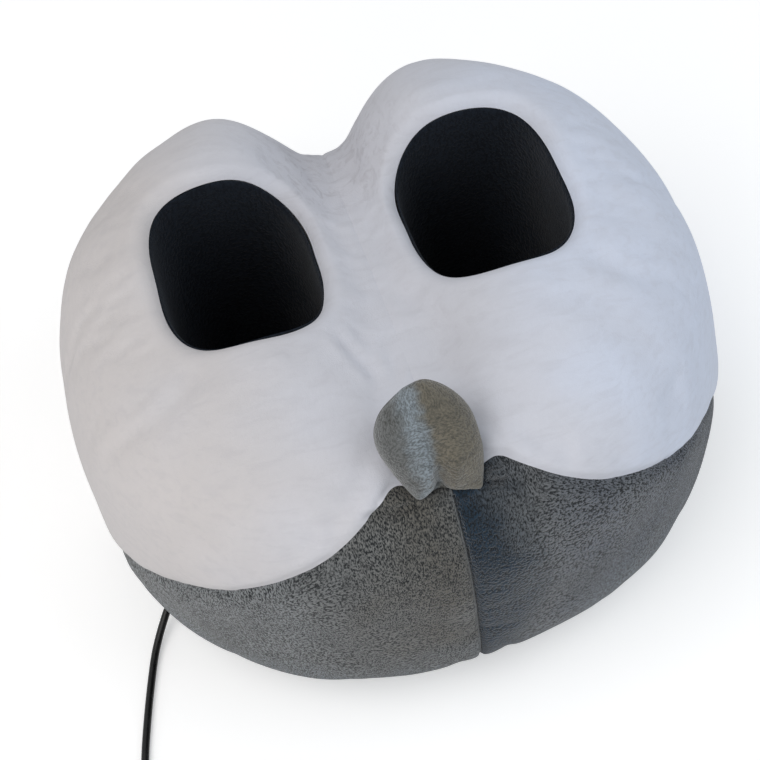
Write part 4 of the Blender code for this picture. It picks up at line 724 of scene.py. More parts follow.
@dataclass
class Studio:
    """The camera at the photograph's angle, a pale floor and soft lamps."""

    azimuth: float = -8.0
    elevation: float = 56.0
    roll: float = 10.0
    distance: float = 1.097
    target: tuple = (0.0, 0.00514, 0.09)
    focal_pixels: float = 1700.0
    frame_pixels: float = 760.0
    target_offset: tuple = (9.8, 7.5)
    sensor: float = 36.0
    floor_size: float = 60.0
    floor_glow: float = 0.36
    world_light: float = 0.42
    lamp_plan: tuple = (
        ("key_lamp", (-1.0, -0.4, 1.9), 1.6, 17.0, (1.0, 0.965, 0.93)),
        ("fill_lamp", (1.6, -0.5, 1.4), 1.8, 12.5, (0.84, 0.92, 1.0)),
        ("front_lamp", (-1.1, -1.7, 0.7), 1.2, 7.5, (0.96, 0.98, 1.0)),
    )
    lamp_target: tuple = (0.0, 0.0, 0.1)

    def make(self) -> None:
        """Set up the camera, the floor, the lamps and the world."""
        self.camera()
        self.floor()
        self.lamps()
        self.world()

    def camera(self) -> None:
        """Put the camera where the photograph was taken."""
        turn, up = math.radians(self.azimuth), math.radians(self.elevation)
        back = Vector((math.sin(turn) * math.cos(up), -math.cos(turn) * math.cos(up), math.sin(up)))
        level_right = Vector((math.cos(turn), math.sin(turn), 0.0))
        level_up = back.cross(level_right)
        roll = math.radians(self.roll)
        right = level_right * math.cos(roll) - level_up * math.sin(roll)
        upward = level_right * math.sin(roll) + level_up * math.cos(roll)
        aside, above = (offset / self.focal_pixels for offset in self.target_offset)
        eye = Vector(self.target) + back * self.distance
        back = (back + right * aside + upward * above).normalized()
        right = (right - right.dot(back) * back).normalized()
        upward = back.cross(right)
        data = bpy.data.cameras.new("camera")
        data.lens = self.focal_pixels * self.sensor / self.frame_pixels
        data.sensor_width = self.sensor
        camera = linked("camera", data)
        turned = Matrix((right, upward, back)).transposed().to_4x4()
        camera.matrix_world = Matrix.Translation(eye) @ turned
        bpy.context.scene.camera = camera

    def floor(self) -> None:
        """Lay the pale floor: white to the camera but for the object's shadow."""
        select_nothing()
        bpy.ops.mesh.primitive_plane_add(size=self.floor_size, location=(0.0, 0.0, 0.0))
        floor = bpy.context.active_object
        floor.name = "floor"
        material = bpy.data.materials.new("studio_floor")
        material.use_nodes = True
        w = Wiring(material.node_tree)
        shader = material.node_tree.nodes["Principled BSDF"]
        shader.inputs["Base Color"].default_value = (0.86, 0.86, 0.86, 1.0)
        shader.inputs["Roughness"].default_value = 0.9
        shader.inputs["Specular IOR Level"].default_value = 0.0
        shader.inputs["Emission Color"].default_value = (1.0, 1.0, 1.0, 1.0)
        w.feed(shader.inputs["Emission Strength"], w.product(w.seen(), self.floor_glow))
        floor.data.materials.append(material)

    def lamps(self) -> None:
        """Hang three soft lamps: a broad one from the upper left, a fill and a low front one."""
        for name, place, size, power, colour in self.lamp_plan:
            data = bpy.data.lights.new(name, "AREA")
            data.size, data.energy, data.color = size, power, colour
            lamp = linked(name, data)
            lamp.location = place
            aim = Vector(self.lamp_target) - Vector(place)
            lamp.rotation_euler = aim.to_track_quat("-Z", "Y").to_euler()

    def world(self) -> None:
        """Light everything a little from all round, and show white where the floor ends."""
        world = bpy.data.worlds.new("studio_world")
        world.use_nodes = True
        bpy.context.scene.world = world
        w = Wiring(world.node_tree)
        backdrop = world.node_tree.nodes["Background"]
        backdrop.inputs["Color"].default_value = (0.96, 0.98, 1.0, 1.0)
        w.feed(backdrop.inputs["Strength"], w.spread(w.seen(), 0.0, 1.0, self.world_light, 1.0))
        bpy.context.scene.view_settings.view_transform = "Standard"


# Cords

def spline_through(route: list, parts: int) -> list:
    """Points of a smooth curve through a route.

    Args:
        route: the route's points.
        parts: how many steps each stretch gets.

    Returns:
        The curve's points.
    """
    nodes = [Vector(point) for point in route]
    nodes = [2 * nodes[0] - nodes[1], *nodes, 2 * nodes[-1] - nodes[-2]]
    points = []
    for before, a, b, after in zip(nodes, nodes[1:], nodes[2:], nodes[3:]):
        for k in range(parts):
            t = k / parts
            points.append(0.5 * (
                2 * a + (b - before) * t + (2 * before - 5 * a + 4 * b - after) * t ** 2
                + (3 * a - before - 3 * b + after) * t ** 3
            ))
    points.append(nodes[-2])
    return points


def length_of(points: list) -> float:
    """The length of a line of points."""
    return sum((b - a).length for a, b in zip(points, points[1:]))


@dataclass
class SupplyCord:
    """The low-voltage cord: from the cover's boot to the controller, and on through the coil to the plug."""

    diameter: float = 0.005
    lead: tuple = ((-0.18111, -0.07074, 0.01229), (-0.18287, -0.07229, 0.01144), (-0.19096, -0.08388, 0.0064),
                   (-0.19746, -0.09638, 0.0036), (-0.20446, -0.11588, 0.0026), (-0.21096, -0.13688, 0.0026),
                   (-0.21726, -0.15988, 0.0026), (-0.22046, -0.17708, 0.0028), (-0.22146, -0.19208, 0.0041),
                   (-0.22146, -0.20678, 0.0065), (-0.22146, -0.21178, 0.0065))
    link: tuple = ((-0.22146, -0.29438, 0.0065), (-0.22146, -0.29938, 0.0065), (-0.21696, -0.31408, 0.0044),
                   (-0.20846, -0.32208, 0.0037), (-0.19646, -0.32408, 0.0036), (-0.18246, -0.31908, 0.0036),
                   (-0.16846, -0.31158, 0.0036), (-0.15569, -0.30839, 0.0036))
    tail: tuple = ((-0.14522, -0.30839, 0.0091), (-0.13646, -0.30758, 0.0086), (-0.12546, -0.30758, 0.0066),
                   (-0.11546, -0.30758, 0.0048), (-0.11076, -0.30758, 0.0040), (-0.10576, -0.30758, 0.0040))
    coil_centre: tuple = (-0.15046, -0.27008)
    coil_height: float = 0.0036
    coil_radius: float = 0.0375
    coil_pitch: float = 0.0055
    coil_turns: int = 7
    coil_steps: int = 48

    def coil_points(self) -> list:
        """The coil: inwards on the floor layer, up a layer where it reverses, and out again.

        Returns:
            The coil's points.
        """
        points = []
        half = self.coil_turns / 2
        for k in range(self.coil_turns * self.coil_steps + 1):
            turns = k / self.coil_steps
            radius = self.coil_radius - self.coil_pitch * min(turns, self.coil_turns - turns)
            rise = float(smooth_step(np.array((turns - half) / 0.5 + 0.5)))
            turn = 2 * math.pi * turns - math.pi / 2
            points.append(Vector((
                self.coil_centre[0] + radius * math.cos(turn),
                self.coil_centre[1] + radius * math.sin(turn),
                self.coil_height + self.coil_pitch * rise,
            )))
        return points

    def curve(self, name: str, points: list) -> bpy.types.Object:
        """A round cord along points.

        Args:
            name: the piece's name.
            points: the centreline.

        Returns:
            The curve object.
        """
        data = bpy.data.curves.new(name, "CURVE")
        data.dimensions = "3D"
        data.bevel_depth = self.diameter / 2
        data.bevel_resolution = 5
        data.use_fill_caps = True
        spline = data.splines.new("POLY")
        spline.points.add(len(points) - 1)
        for slot, point in zip(spline.points, points):
            slot.co = (*point, 1.0)
        spline.use_smooth = True
        return put_on(linked(name, data), Palette.get(Palette.CORD))

    def make(self) -> None:
        lead_points = spline_through(self.lead, 4)
        lead = self.curve("cord_to_controller", lead_points)
        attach(lead, WARMER)
        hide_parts("cord_lead")
        before = spline_through([*self.link, self.coil_points()[0]], 4)
        after = spline_through([self.coil_points()[-1], *self.tail], 4)
        points = before[:-1] + self.coil_points() + after[1:]
        rest = self.curve("cord_to_plug", points)
        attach(rest, WARMER)
        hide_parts("cord_link", "cord_coil", "cord_tail")
        LOG.info("cord %.3f m and %.3f m", length_of(lead_points), length_of(points))


# The stuffed body's form

class Side(Enum):
    """Which half of the body a piece is on."""

    LEFT = -1
    RIGHT = 1

    @property
    def word(self) -> str:
        """The half's name in a piece's name."""
        return self.name.lower()


@dataclass(frozen=True)
class Fold:
    """A crease in the cover along a line, with soft ridges beside it.

    The line's two ends are places on the body, the depth and width are in metres and the ridge is a
    share of the depth. A depth below zero is a swelling.
    """

    start: tuple
    end: tuple
    depth: float
    width: float
    ridge: float = 0.5

    def push(self, points: np.ndarray) -> np.ndarray:
        """How far the fold moves each point out along its normal.

        Args:
            points: rows of x, y, z.

        Returns:
            One distance for each point, less than zero in the crease.
        """
        start, end = np.array(self.start), np.array(self.end)
        run = end - start
        along = ((points - start) @ run) / (run @ run)
        near = start + np.clip(along, 0.0, 1.0)[:, None] * run
        away = np.linalg.norm(points - near, axis=1)
        fade = smooth_step((along + 0.15) / 0.35) * smooth_step((1.15 - along) / 0.35)
        crease = np.exp(-(away / self.width) ** 2)
        beside = np.exp(-((away - 2.1 * self.width) / self.width) ** 2)
        return self.depth * fade * (self.ridge * beside - crease)


@dataclass
class BodyForm:
    """The form that the covers and linings share: two lobes on a flat base, with a pocket in each."""

    width: float = 0.400
    depth: float = 0.376
    height: float = 0.226
    girth: float = 0.084
    undercut: float = 0.109
    lift: float = 0.0012
    crown_power: float = 4.2
    undercut_power: float = 3.0
    plan_power: float = 2.27
    valley_depth: float = 0.047
    valley_setback: float = 0.040
    valley_width: float = 0.042
    valley_near_share: float = 0.25
    valley_reach_shares: tuple = (-0.7, 0.8)
    field_height: float = 0.171
    field_slope: float = 0.786
    field_rise: float = 0.064
    field_shares: tuple = ((0, 0.81), (0.1, 0.95), (0.15, 1.0), (0.2, 0.88), (0.3, 0.60), (0.4, 0.38),
                           (0.475, 0.28), (0.55, 0.20), (0.625, 0.14), (0.7, 0.11), (1.2, 0.11))
    pocket_x: float = 0.077
    pocket_half_width: float = 0.047
    heel_y: float = 0.088
    near_y: float = -0.038
    toe_y: float = -0.150
    toe_box: float = 0.070
    sole: float = 0.0163
    pocket_power: float = 3.2
    level_shares: tuple = ((0, 0.86, 0.90), (0.12, 0.95, 0.98), (0.45, 1.0, 1.0), (0.8, 0.96, 1.0),
                           (1.0, 0.80, 1.0), (1.13, 0.48, 1.0), (1.28, 0.16, 1.0), (1.6, 0, 1.0))

    def notch(self, x: np.ndarray) -> np.ndarray:
        """How much of the valley is felt at a place across."""
        return np.exp(-(x / self.valley_width) ** 2)

    def plan_norm(self, x: np.ndarray, y: np.ndarray) -> np.ndarray:
        """How far out a direction lies on the plan, 1 on its outline."""
        norm = (np.abs(x) ** self.plan_power + np.abs(y) ** self.plan_power) ** (1 / self.plan_power)
        return np.maximum(norm, 1e-9)

    def along_valley(self, y: np.ndarray) -> np.ndarray:
        """The valley's share of its full depth at a place along."""
        start, full = (share * self.depth / 2 for share in self.valley_reach_shares)
        return self.valley_near_share + (1 - self.valley_near_share) * smooth_step((y - start) / (full - start))

    def in_valley(self, x: np.ndarray, y: np.ndarray, z: np.ndarray) -> np.ndarray:
        """Points drawn in and lowered by the valley between the lobes.

        Args:
            x: places across.
            y: places along.
            z: heights.

        Returns:
            Rows of x, y, z.
        """
        notch = self.notch(x)
        rise = np.maximum(0.0, (z - self.girth) / (self.height - self.girth))
        back = self.valley_setback * notch * np.maximum(0.0, y / (self.depth / 2))
        back = back * np.minimum(1.0, z / self.girth) ** 2
        drop = self.valley_depth * notch * rise * self.along_valley(y)
        return np.stack([x, y - back, z - drop], axis=1)

    def crown(self, x: np.ndarray, y: np.ndarray, rise: np.ndarray) -> np.ndarray:
        """Points above the girth in given directions.

        Args:
            x: the directions' shares across.
            y: their shares along.
            rise: their shares up.

        Returns:
            Rows of x, y, z.
        """
        size = (self.plan_norm(x, y) ** self.crown_power + rise ** self.crown_power) ** (-1 / self.crown_power)
        z = self.girth + (self.height - self.girth) * rise * size
        return self.in_valley(self.width / 2 * x * size, self.depth / 2 * y * size, z)

    def wall(self, x: np.ndarray, y: np.ndarray, z: np.ndarray) -> np.ndarray:
        """Points on the wall below the girth, in given directions and at given heights.

        Args:
            x: the directions' shares across.
            y: their shares along.
            z: heights.

        Returns:
            Rows of x, y, z.
        """
        drop = np.maximum(0.0, self.girth - z) / self.undercut
        share = (1 - drop ** self.undercut_power) ** (1 / self.undercut_power) / self.plan_norm(x, y)
        return self.in_valley(self.width / 2 * share * x, self.depth / 2 * share * y, z)

    def top_height(self, x: np.ndarray, y: np.ndarray) -> np.ndarray:
        """Heights of the top over places in plan.

        Args:
            x: places across.
            y: places along.

        Returns:
            The heights.
        """
        pull = 1 - self.valley_setback * self.notch(x) / (self.depth / 2)
        level = np.where(y > 0, y / pull, y)
        norm = np.minimum(1.0, self.plan_norm(x / (self.width / 2), level / (self.depth / 2)))
        rise = (1 - norm ** self.crown_power) ** (1 / self.crown_power)
        z = self.girth + (self.height - self.girth) * rise
        return z - self.valley_depth * self.notch(x) * rise * self.along_valley(level)

    def field_line(self, x: np.ndarray) -> np.ndarray:
        """How far the white's edge rises at places across."""
        route = [(self.width / 2 * share, 0.0, self.field_rise * rise) for share, rise in self.field_shares]
        curve = np.array([(point.x, point.z) for point in spline_through(route, 8)])
        return np.interp(np.abs(x), curve[:, 0], curve[:, 1])

    def over_field_edge(self, points: np.ndarray) -> np.ndarray:
        """How far points lie above the edge between white and grey, about square to it, in metres."""
        x, y, z = points.T
        edge = self.field_height + self.field_line(x) - self.field_slope * (y + self.depth / 2)
        step = 0.001
        slope = (self.field_line(np.abs(x) + step) - self.field_line(np.abs(x))) / step
        return (z - edge) / np.sqrt(1 + self.field_slope ** 2 + slope ** 2)

    def pocket_middle(self) -> tuple:
        """The middle of a pocket's mouth in plan, for the right pocket."""
        return self.pocket_x, (self.heel_y + self.near_y) / 2

    def mouth_half(self) -> tuple:
        """Half the mouth's width and length."""
        return self.pocket_half_width, (self.heel_y - self.near_y) / 2

    def pocket_levels(self, count: int) -> np.ndarray:
        """Sections of a pocket from under the lip down to the sole.

        Args:
            count: how many sections.

        Returns:
            Rows of the toe side's y, its height, the heel side's height and the share of the width.
        """
        known = [(self.toe_box * up, self.near_y - (self.near_y - self.toe_y) * toe, share)
                 for up, toe, share in self.level_shares]
        known.append((0.191 - self.sole, self.near_y, 1.0))
        heights, toes, shares = np.array(known).T
        places = smooth_step(np.linspace(0.0, 1.0, count)) * (heights[-1] - heights[0]) + heights[0]
        rows = []
        for up in reversed(places):
            toe, share = np.interp(up, heights, toes), np.interp(up, heights, shares)
            rows.append((toe, self.sole + up, self.sole + up, share))
        return np.array(rows)


# Covers and linings

@dataclass
class PlushBody:
    """The white cheeks, the grey back and the dark linings, made as one stuffed skin and cut at its seams."""

    form: BodyForm = field(default_factory=BodyForm)
    cells: int = 64
    lip_radius: float = 0.010
    lip_steps: int = 4
    lip_turn: float = 64.0
    warp_reach: float = 1.55
    levels_down: int = 26
    cover_thickness: float = 0.0022
    lining_thickness: float = 0.0012
    seam_depth: float = 0.0022
    seam_width: float = 0.0034
    pillow: float = 0.0016
    pillow_reach: float = 0.016
    slot_place: tuple = (0.0, 0.1633964, 0.028)
    slot_lean: float = 24.64
    slot_half: tuple = (0.0653, 0.0056)
    boot_exit: tuple = (-0.17246, -0.0682236, 0.0165)
    boot_axis: tuple = (-0.70364, -0.62283, -0.34202)
    boot_hole: float = 0.0058
    seam_reach: float = 0.0055
    settle_cap: float = 0.0026
    settle_start: float = 0.0013
    settle_reach: float = 0.020
    settle_held: float = 0.0025
    settle_pressure: float = 4.0
    settle_frames: int = 20
    floor_gap: float = 0.0004
    snap_share: float = 0.12
    root_place: tuple = (-0.003, -0.157, 0.198)
    root_reach: float = 0.048
    folds: tuple = (
        Fold((-0.0180, -0.1590, 0.1960), (0.0130, -0.1590, 0.1960), -0.0042, 0.0056, 0.0),
        Fold((-0.0190, -0.1585, 0.1966), (-0.0483, -0.1585, 0.1993), 0.0022, 0.0020, 0.4),
        Fold((-0.0263, -0.1535, 0.2010), (-0.0390, -0.1560, 0.2008), -0.0014, 0.0042, 0.0),
        Fold((0.0177, -0.1580, 0.1967), (0.0313, -0.1600, 0.1970), 0.0034, 0.0020, 0.5),
        Fold((0.0313, -0.1600, 0.1970), (0.0430, -0.1652, 0.1935), 0.0012, 0.0030, 0.4),
        Fold((0.0215, -0.1545, 0.1996), (0.0310, -0.1572, 0.1990), -0.0028, 0.0030, 0.0),
        Fold((-0.0336, -0.0463, 0.2156), (-0.0175, -0.0828, 0.2127), 0.0013, 0.0036, 0.7),
        Fold((-0.0049, -0.0516, 0.2075), (-0.0085, -0.0877, 0.2112), 0.0011, 0.0036, 0.7),
        Fold((-0.0030, 0.1340, 0.1590), (-0.0055, 0.0800, 0.1810), 0.0013, 0.0030, 0.6),
    )

    def make(self) -> BVHTree:
        """Build the skin, shape it, cut it into its panels and finish them.

        Returns:
            The whole outer skin, for what has to stay inside it.
        """
        skin, loops = self.skin()
        self.settle(skin)
        smoothed(skin)
        self.refine(skin)
        self.sculpt(skin)
        self.open_slot(skin)
        self.open_boot(skin)
        hull = self.hull(skin)
        panels = self.cut_panels(skin)
        for name, panel in panels.items():
            self.finish_panel(name, panel)
        for side in Side:
            self.lining(side, loops[side])
        return hull

    def hull(self, skin: bpy.types.Object) -> BVHTree:
        """The skin's surface as a search tree."""
        return BVHTree.FromPolygons([vert.co.copy() for vert in skin.data.vertices],
                                    [tuple(face.vertices) for face in skin.data.polygons])

    def freedom(self, points: np.ndarray) -> np.ndarray:
        """How far points lie from the nearest place where the cover is held: a seam, a mouth or the hem.

        Args:
            points: rows of x, y, z.

        Returns:
            One distance for each point.
        """
        form = self.form
        x, y, z = points.T
        (cx, cy), (hx, hy) = form.pocket_middle(), form.mouth_half()
        a, b = np.abs(np.abs(x) - cx) / (hx + self.lip_radius), np.abs(y - cy) / (hy + self.lip_radius)
        oval = (a ** form.pocket_power + b ** form.pocket_power) ** (1 / form.pocket_power)
        mouth = np.where(z > form.girth, (oval - 1.03) * hx, 1.0)
        kept = [np.abs(form.over_field_edge(points)), np.abs(x), mouth, z - 0.012]
        for place, reach in ((self.slot_place, 0.072), (self.boot_exit, 0.016), (self.root_place, 0.030)):
            kept.append(np.linalg.norm(points - np.array(place), axis=1) - reach)
        return np.maximum(0.0, np.min(kept, axis=0))

    def settle(self, skin: bpy.types.Object) -> None:
        """Let the cover swell over its stuffing as simulated cloth, held at its seams, its mouths and its hem.

        Args:
            skin: the skin before it is smoothed.
        """
        rest = points_of(skin)
        distance = self.freedom(rest)
        share = smooth_step(distance / self.settle_reach)
        start = rest - normals_of(skin) * (self.settle_start * share)[:, None]
        set_points(skin, start)
        held = skin.vertex_groups.new(name="held")
        held.add([int(k) for k in np.nonzero(distance < self.settle_held)[0]], 1.0, "REPLACE")
        cloth = skin.modifiers.new("stuffed cover", "CLOTH")
        settings = cloth.settings
        settings.vertex_group_mass = "held"
        settings.use_pressure = True
        settings.uniform_pressure_force = self.settle_pressure
        settings.effector_weights.gravity = 0.0
        settings.shrink_min = -0.02
        settings.quality = 4
        cloth.collision_settings.use_collision = False
        cloth.point_cache.frame_start = 1
        cloth.point_cache.frame_end = self.settle_frames
        scene = bpy.context.scene
        for number in range(1, self.settle_frames + 1):
            scene.frame_set(number)
        worked = skin.evaluated_get(bpy.context.evaluated_depsgraph_get())
        step = np.array([vert.co for vert in worked.data.vertices]) - start
        skin.modifiers.remove(cloth)
        scene.frame_set(1)
        length = np.maximum(np.linalg.norm(step, axis=1), 1e-9)
        cap = self.settle_cap
        set_points(skin, start + step * (cap * np.tanh(length / cap) / length)[:, None])
        LOG.info("cover settled, at most %.4f m", float((cap * np.tanh(length / cap)).max()))

    def skin(self) -> tuple:
        """The outer skin with its mouths and their lips.

        Returns:
            The object, and for each side the loop of points at the lip's inner edge.
        """
        select_nothing()
        bpy.ops.mesh.primitive_cube_add(size=2.0)
        skin = bpy.context.active_object
        skin.name = "plush_skin"
        bpy.ops.object.mode_set(mode="EDIT")
        bpy.ops.mesh.select_all(action="SELECT")
        bpy.ops.mesh.subdivide(number_cuts=self.cells - 1)
        bpy.ops.object.mode_set(mode="OBJECT")
        unit = points_of(skin)
        placed = self.placed(unit)
        shape = bmesh.new()
        shape.from_mesh(skin.data)
        shape.verts.ensure_lookup_table()
        grid = {}
        for k, (u, v, w) in enumerate(unit):
            if w > 0.999:
                grid[round((u + 1) * self.cells / 2), round((v + 1) * self.cells / 2)] = k
        rims = {side: self.rim(grid, placed, side) for side in Side}
        for k, vert in enumerate(shape.verts):
            vert.co = placed[k]
        self.warp(shape, grid, rims)
        doomed = [face for face in shape.faces if all(unit[v.index][2] < -0.999 for v in face.verts)]
        for side in Side:
            inside = self.inside_rim(grid, rims[side])
            doomed += [face for face in shape.faces if all(v.index in inside for v in face.verts)]
        edges = {side: [shape.verts[k] for k in rims[side][4]] for side in Side}
        bmesh.ops.delete(shape, geom=list(set(doomed)), context="FACES")
        loops = {side: self.roll_lip(shape, edges[side], side) for side in Side}
        loose = [vert for vert in shape.verts if not vert.link_faces]
        bmesh.ops.delete(shape, geom=loose, context="VERTS")
        bmesh.ops.recalc_face_normals(shape, faces=shape.faces)
        shape.to_mesh(skin.data)
        shape.free()
        return skin, loops

    def placed(self, unit: np.ndarray) -> np.ndarray:
        """A cube's points carried to the body's surface.

        Args:
            unit: rows of x, y, z in a cube from -1 to 1.

        Returns:
            Rows of x, y, z on the body.
        """
        x, y, w = np.tan(unit[:, 0] * math.pi / 4), np.tan(unit[:, 1] * math.pi / 4), unit[:, 2]
        form = self.form
        upper = form.crown(x, y, np.tan(np.maximum(0.0, w) * math.pi / 4))
        lower = form.wall(x, y, form.girth + np.minimum(0.0, w) * (form.girth - form.lift))
        return np.where((w >= 0)[:, None], upper, lower)

    def rim(self, grid: dict, placed: np.ndarray, side: Side) -> tuple:
        """The cells that a mouth takes from the top.

        Args:
            grid: point numbers by their column and row on the cube's top.
            placed: the points on the body.
            side: which pocket.

        Returns:
            The first and last column, the first and last row, and the point numbers round them, anticlockwise.
        """
        (cx, cy), (hx, hy) = self.form.pocket_middle(), self.form.mouth_half()
        cx *= side.value
        hx, hy = hx + self.lip_radius, hy + self.lip_radius

        def nearest(value: float, axis: int, fixed: int) -> int:
            lines = range(self.cells + 1)
            keys = [(k, fixed) if axis == 0 else (fixed, k) for k in lines]
            return min(lines, key=lambda k: abs(placed[grid[keys[k]]][axis] - value))

        row = nearest(cy, 1, self.cells // 2)
        column = nearest(cx, 0, row)
        first, last = nearest(cx - hx, 0, row), nearest(cx + hx, 0, row)
        low, high = nearest(cy - hy, 1, column), nearest(cy + hy, 1, column)
        loop = [grid[i, low] for i in range(first, last)] + [grid[last, j] for j in range(low, high)]
        loop += [grid[i, high] for i in range(last, first, -1)] + [grid[first, j] for j in range(high, low, -1)]
        return first, last, low, high, loop

    def inside_rim(self, grid: dict, rim: tuple) -> set:
        """The point numbers in and on a mouth's cells."""
        first, last, low, high, _ = rim
        return {grid[i, j] for i in range(first, last + 1) for j in range(low, high + 1)}

    def warp(self, shape: bmesh.types.BMesh, grid: dict, rims: dict) -> None:
        """Draw the top's cells round each mouth, so that its rim is a smooth rounded outline.

        Args:
            shape: the skin.
            grid: point numbers by column and row on the top.
            rims: what rim gave for each side.
        """
        form = self.form
        power = form.pocket_power
        for side in Side:
            (cx, cy), (hx, hy) = form.pocket_middle(), form.mouth_half()
            cx *= side.value
            hx, hy = hx + self.lip_radius, hy + self.lip_radius
            loop = set(rims[side][4])
            numbers = [k for k in grid.values() if shape.verts[k].co.x * side.value > -1e-6]
            points = np.array([shape.verts[k].co for k in numbers])
            a, b = (points[:, 0] - cx) / hx, (points[:, 1] - cy) / hy
            turn, reach = np.arctan2(b, a), np.maximum(1e-6, np.hypot(a, b))
            on_rim = np.array([k in loop for k in numbers])
            rim_reach = np.interp(turn, turn[on_rim], reach[on_rim], period=2 * math.pi)
            wanted = (np.abs(np.cos(turn)) ** power + np.abs(np.sin(turn)) ** power) ** (-1 / power)
            free = smooth_step((reach / rim_reach - 1.0) / (self.warp_reach - 1.0))
            factor = (1 - free) * wanted / rim_reach + free
            x, y = cx + a * hx * factor, cy + b * hy * factor
            middle = np.abs(points[:, 0]) < 1e-6
            x = np.where(middle, points[:, 0], x)
            z = np.where(np.abs(factor - 1) > 1e-9, form.top_height(x, y), points[:, 2])
            for k, place in zip(numbers, np.stack([x, y, z], axis=1)):
                shape.verts[k].co = place

    def roll_lip(self, shape: bmesh.types.BMesh, ring: list, side: Side) -> np.ndarray:
        """Roll the skin over a mouth's rim and down.

        Args:
            shape: the skin.
            ring: the rim's vertices, anticlockwise.
            side: which pocket.

        Returns:
            Rows of x, y, z at the lip's inner edge.
        """
        (cx, cy), (hx, hy) = self.form.pocket_middle(), self.form.mouth_half()
        cx *= side.value
        radius = self.lip_radius
        start = np.array([vert.co for vert in ring])
        a, b = (start[:, 0] - cx) / (hx + radius), (start[:, 1] - cy) / (hy + radius)
        rows = None
        for step in range(1, self.lip_steps + 1):
            turn = math.radians(self.lip_turn * step / self.lip_steps)
            inward = radius * (1 - math.sin(turn))
            rows = np.stack([
                cx + a * (hx + inward), cy + b * (hy + inward), start[:, 2] - radius * (1 - math.cos(turn)),
            ], axis=1)
            new = [shape.verts.new(row) for row in rows]
            for k in range(len(ring)):
                after = (k + 1) % len(ring)
                shape.faces.new([ring[k], ring[after], new[after], new[k]])
            ring = new
        return rows

    def refine(self, skin: bpy.types.Object) -> None:
        """Give the skin smaller cells round the tail's root, round the cord's boot and beside the middle seam.

        Args:
            skin: the skin.
        """
        shape = bmesh.new()
        shape.from_mesh(skin.data)
        for place, reach in ((self.root_place, self.root_reach), (self.boot_exit, 0.018)):
            place = Vector(place)
            near = [edge for edge in shape.edges if all((vert.co - place).length < reach for vert in edge.verts)]
            bmesh.ops.subdivide_edges(shape, edges=near, cuts=1, use_grid_fill=True)
        beside = [edge for edge in shape.edges if all(
            abs(vert.co.x) < self.seam_reach and vert.co.y < -0.1 and 0.02 < vert.co.z < 0.19 for vert in edge.verts)]
        bmesh.ops.subdivide_edges(shape, edges=beside, cuts=1, use_grid_fill=True)
        shape.to_mesh(skin.data)
        shape.free()

    def open_slot(self, skin: bpy.types.Object) -> None:
        """Cut the zip's slot out of the far wall, with a turned and stitched edge.

        Args:
            skin: the skin.
        """
        place = Matrix.Translation(self.slot_place) @ Matrix.Rotation(-math.radians(self.slot_lean), 4, "X")
        back = place.inverted()
        length, width = self.slot_half
        shape = bmesh.new()
        shape.from_mesh(skin.data)

        def near(vert: bmesh.types.BMVert) -> bool:
            spot = back @ vert.co
            return abs(spot.x) < length + 0.012 and abs(spot.y) < 0.015 and abs(spot.z) < width + 0.010

        cuts = [("x", sign * (length + step)) for sign in (-1, 1) for step in (0.0, 0.0014)]
        cuts += [("z", sign * (width + step)) for sign in (-1, 1) for step in (0.0, 0.0010, 0.0022, 0.0038, 0.0050)]
        for axis, value in cuts:
            faces = [face for face in shape.faces if all(near(vert) for vert in face.verts)]
            edges = {edge for face in faces for edge in face.edges}
            verts = {vert for face in faces for vert in face.verts}
            away = Vector((1.0, 0.0, 0.0)) if axis == "x" else Vector((0.0, 0.0, 1.0))
            bmesh.ops.bisect_plane(shape, geom=[*verts, *edges, *faces], dist=1e-5,
                                   plane_co=place @ (away * value), plane_no=place.to_3x3() @ away)
        inside = []
        for face in shape.faces:
            spot = back @ face.calc_center_median()
            if abs(spot.x) < length and abs(spot.z) < width and abs(spot.y) < 0.015:
                inside.append(face)
        bmesh.ops.delete(shape, geom=inside, context="FACES")
        out = place.to_3x3() @ Vector((0.0, 1.0, 0.0))
        for vert in shape.verts:
            if near(vert):
                spot = back @ vert.co
                away = math.hypot(max(abs(spot.x) - length, 0.0), max(abs(spot.z) - width, 0.0))
                push = 0.0004 * math.exp(-((away - 0.0022) / 0.0016) ** 2)
                push -= 0.0012 * math.exp(-(math.hypot(spot.x - length - 0.003, spot.z) / 0.007) ** 2)
                push -= 0.0006 * math.exp(-(away / 0.0008) ** 2) + 0.0006 * math.exp(-((away - 0.0050) / 0.0009) ** 2)
                vert.co += out * push
        shape.to_mesh(skin.data)
        shape.free()

    def open_boot(self, skin: bpy.types.Object) -> None:
        """Open the round hole that the cord's boot comes out of.

        Args:
            skin: the skin.
        """
        exit_place, axis = Vector(self.boot_exit), Vector(self.boot_axis).normalized()
        shape = bmesh.new()
        shape.from_mesh(skin.data)

        def from_axis(spot: Vector) -> Vector:
            away = spot - exit_place
            return away - away.dot(axis) * axis

        inside = [face for face in shape.faces
                  if from_axis(face.calc_center_median()).length < self.boot_hole
                  and (face.calc_center_median() - exit_place).length < 0.016]
        bmesh.ops.delete(shape, geom=inside, context="FACES")
        for vert in shape.verts:
            away = from_axis(vert.co)
            if (vert.co - exit_place).length > 0.018:
                continue
            if vert.is_boundary and away.length < 2.0 * self.boot_hole:
                vert.co += away.normalized() * (self.boot_hole - away.length)
                away = from_axis(vert.co)
            beyond = away.length - self.boot_hole
            push = 0.0007 * math.exp(-((beyond - 0.0030) / 0.0018) ** 2) - 0.0009 * math.exp(-(beyond / 0.0012) ** 2)
            vert.co += axis * push
        loose = [vert for vert in shape.verts if not vert.link_faces]
        bmesh.ops.delete(shape, geom=loose, context="VERTS")
        shape.to_mesh(skin.data)
        shape.free()

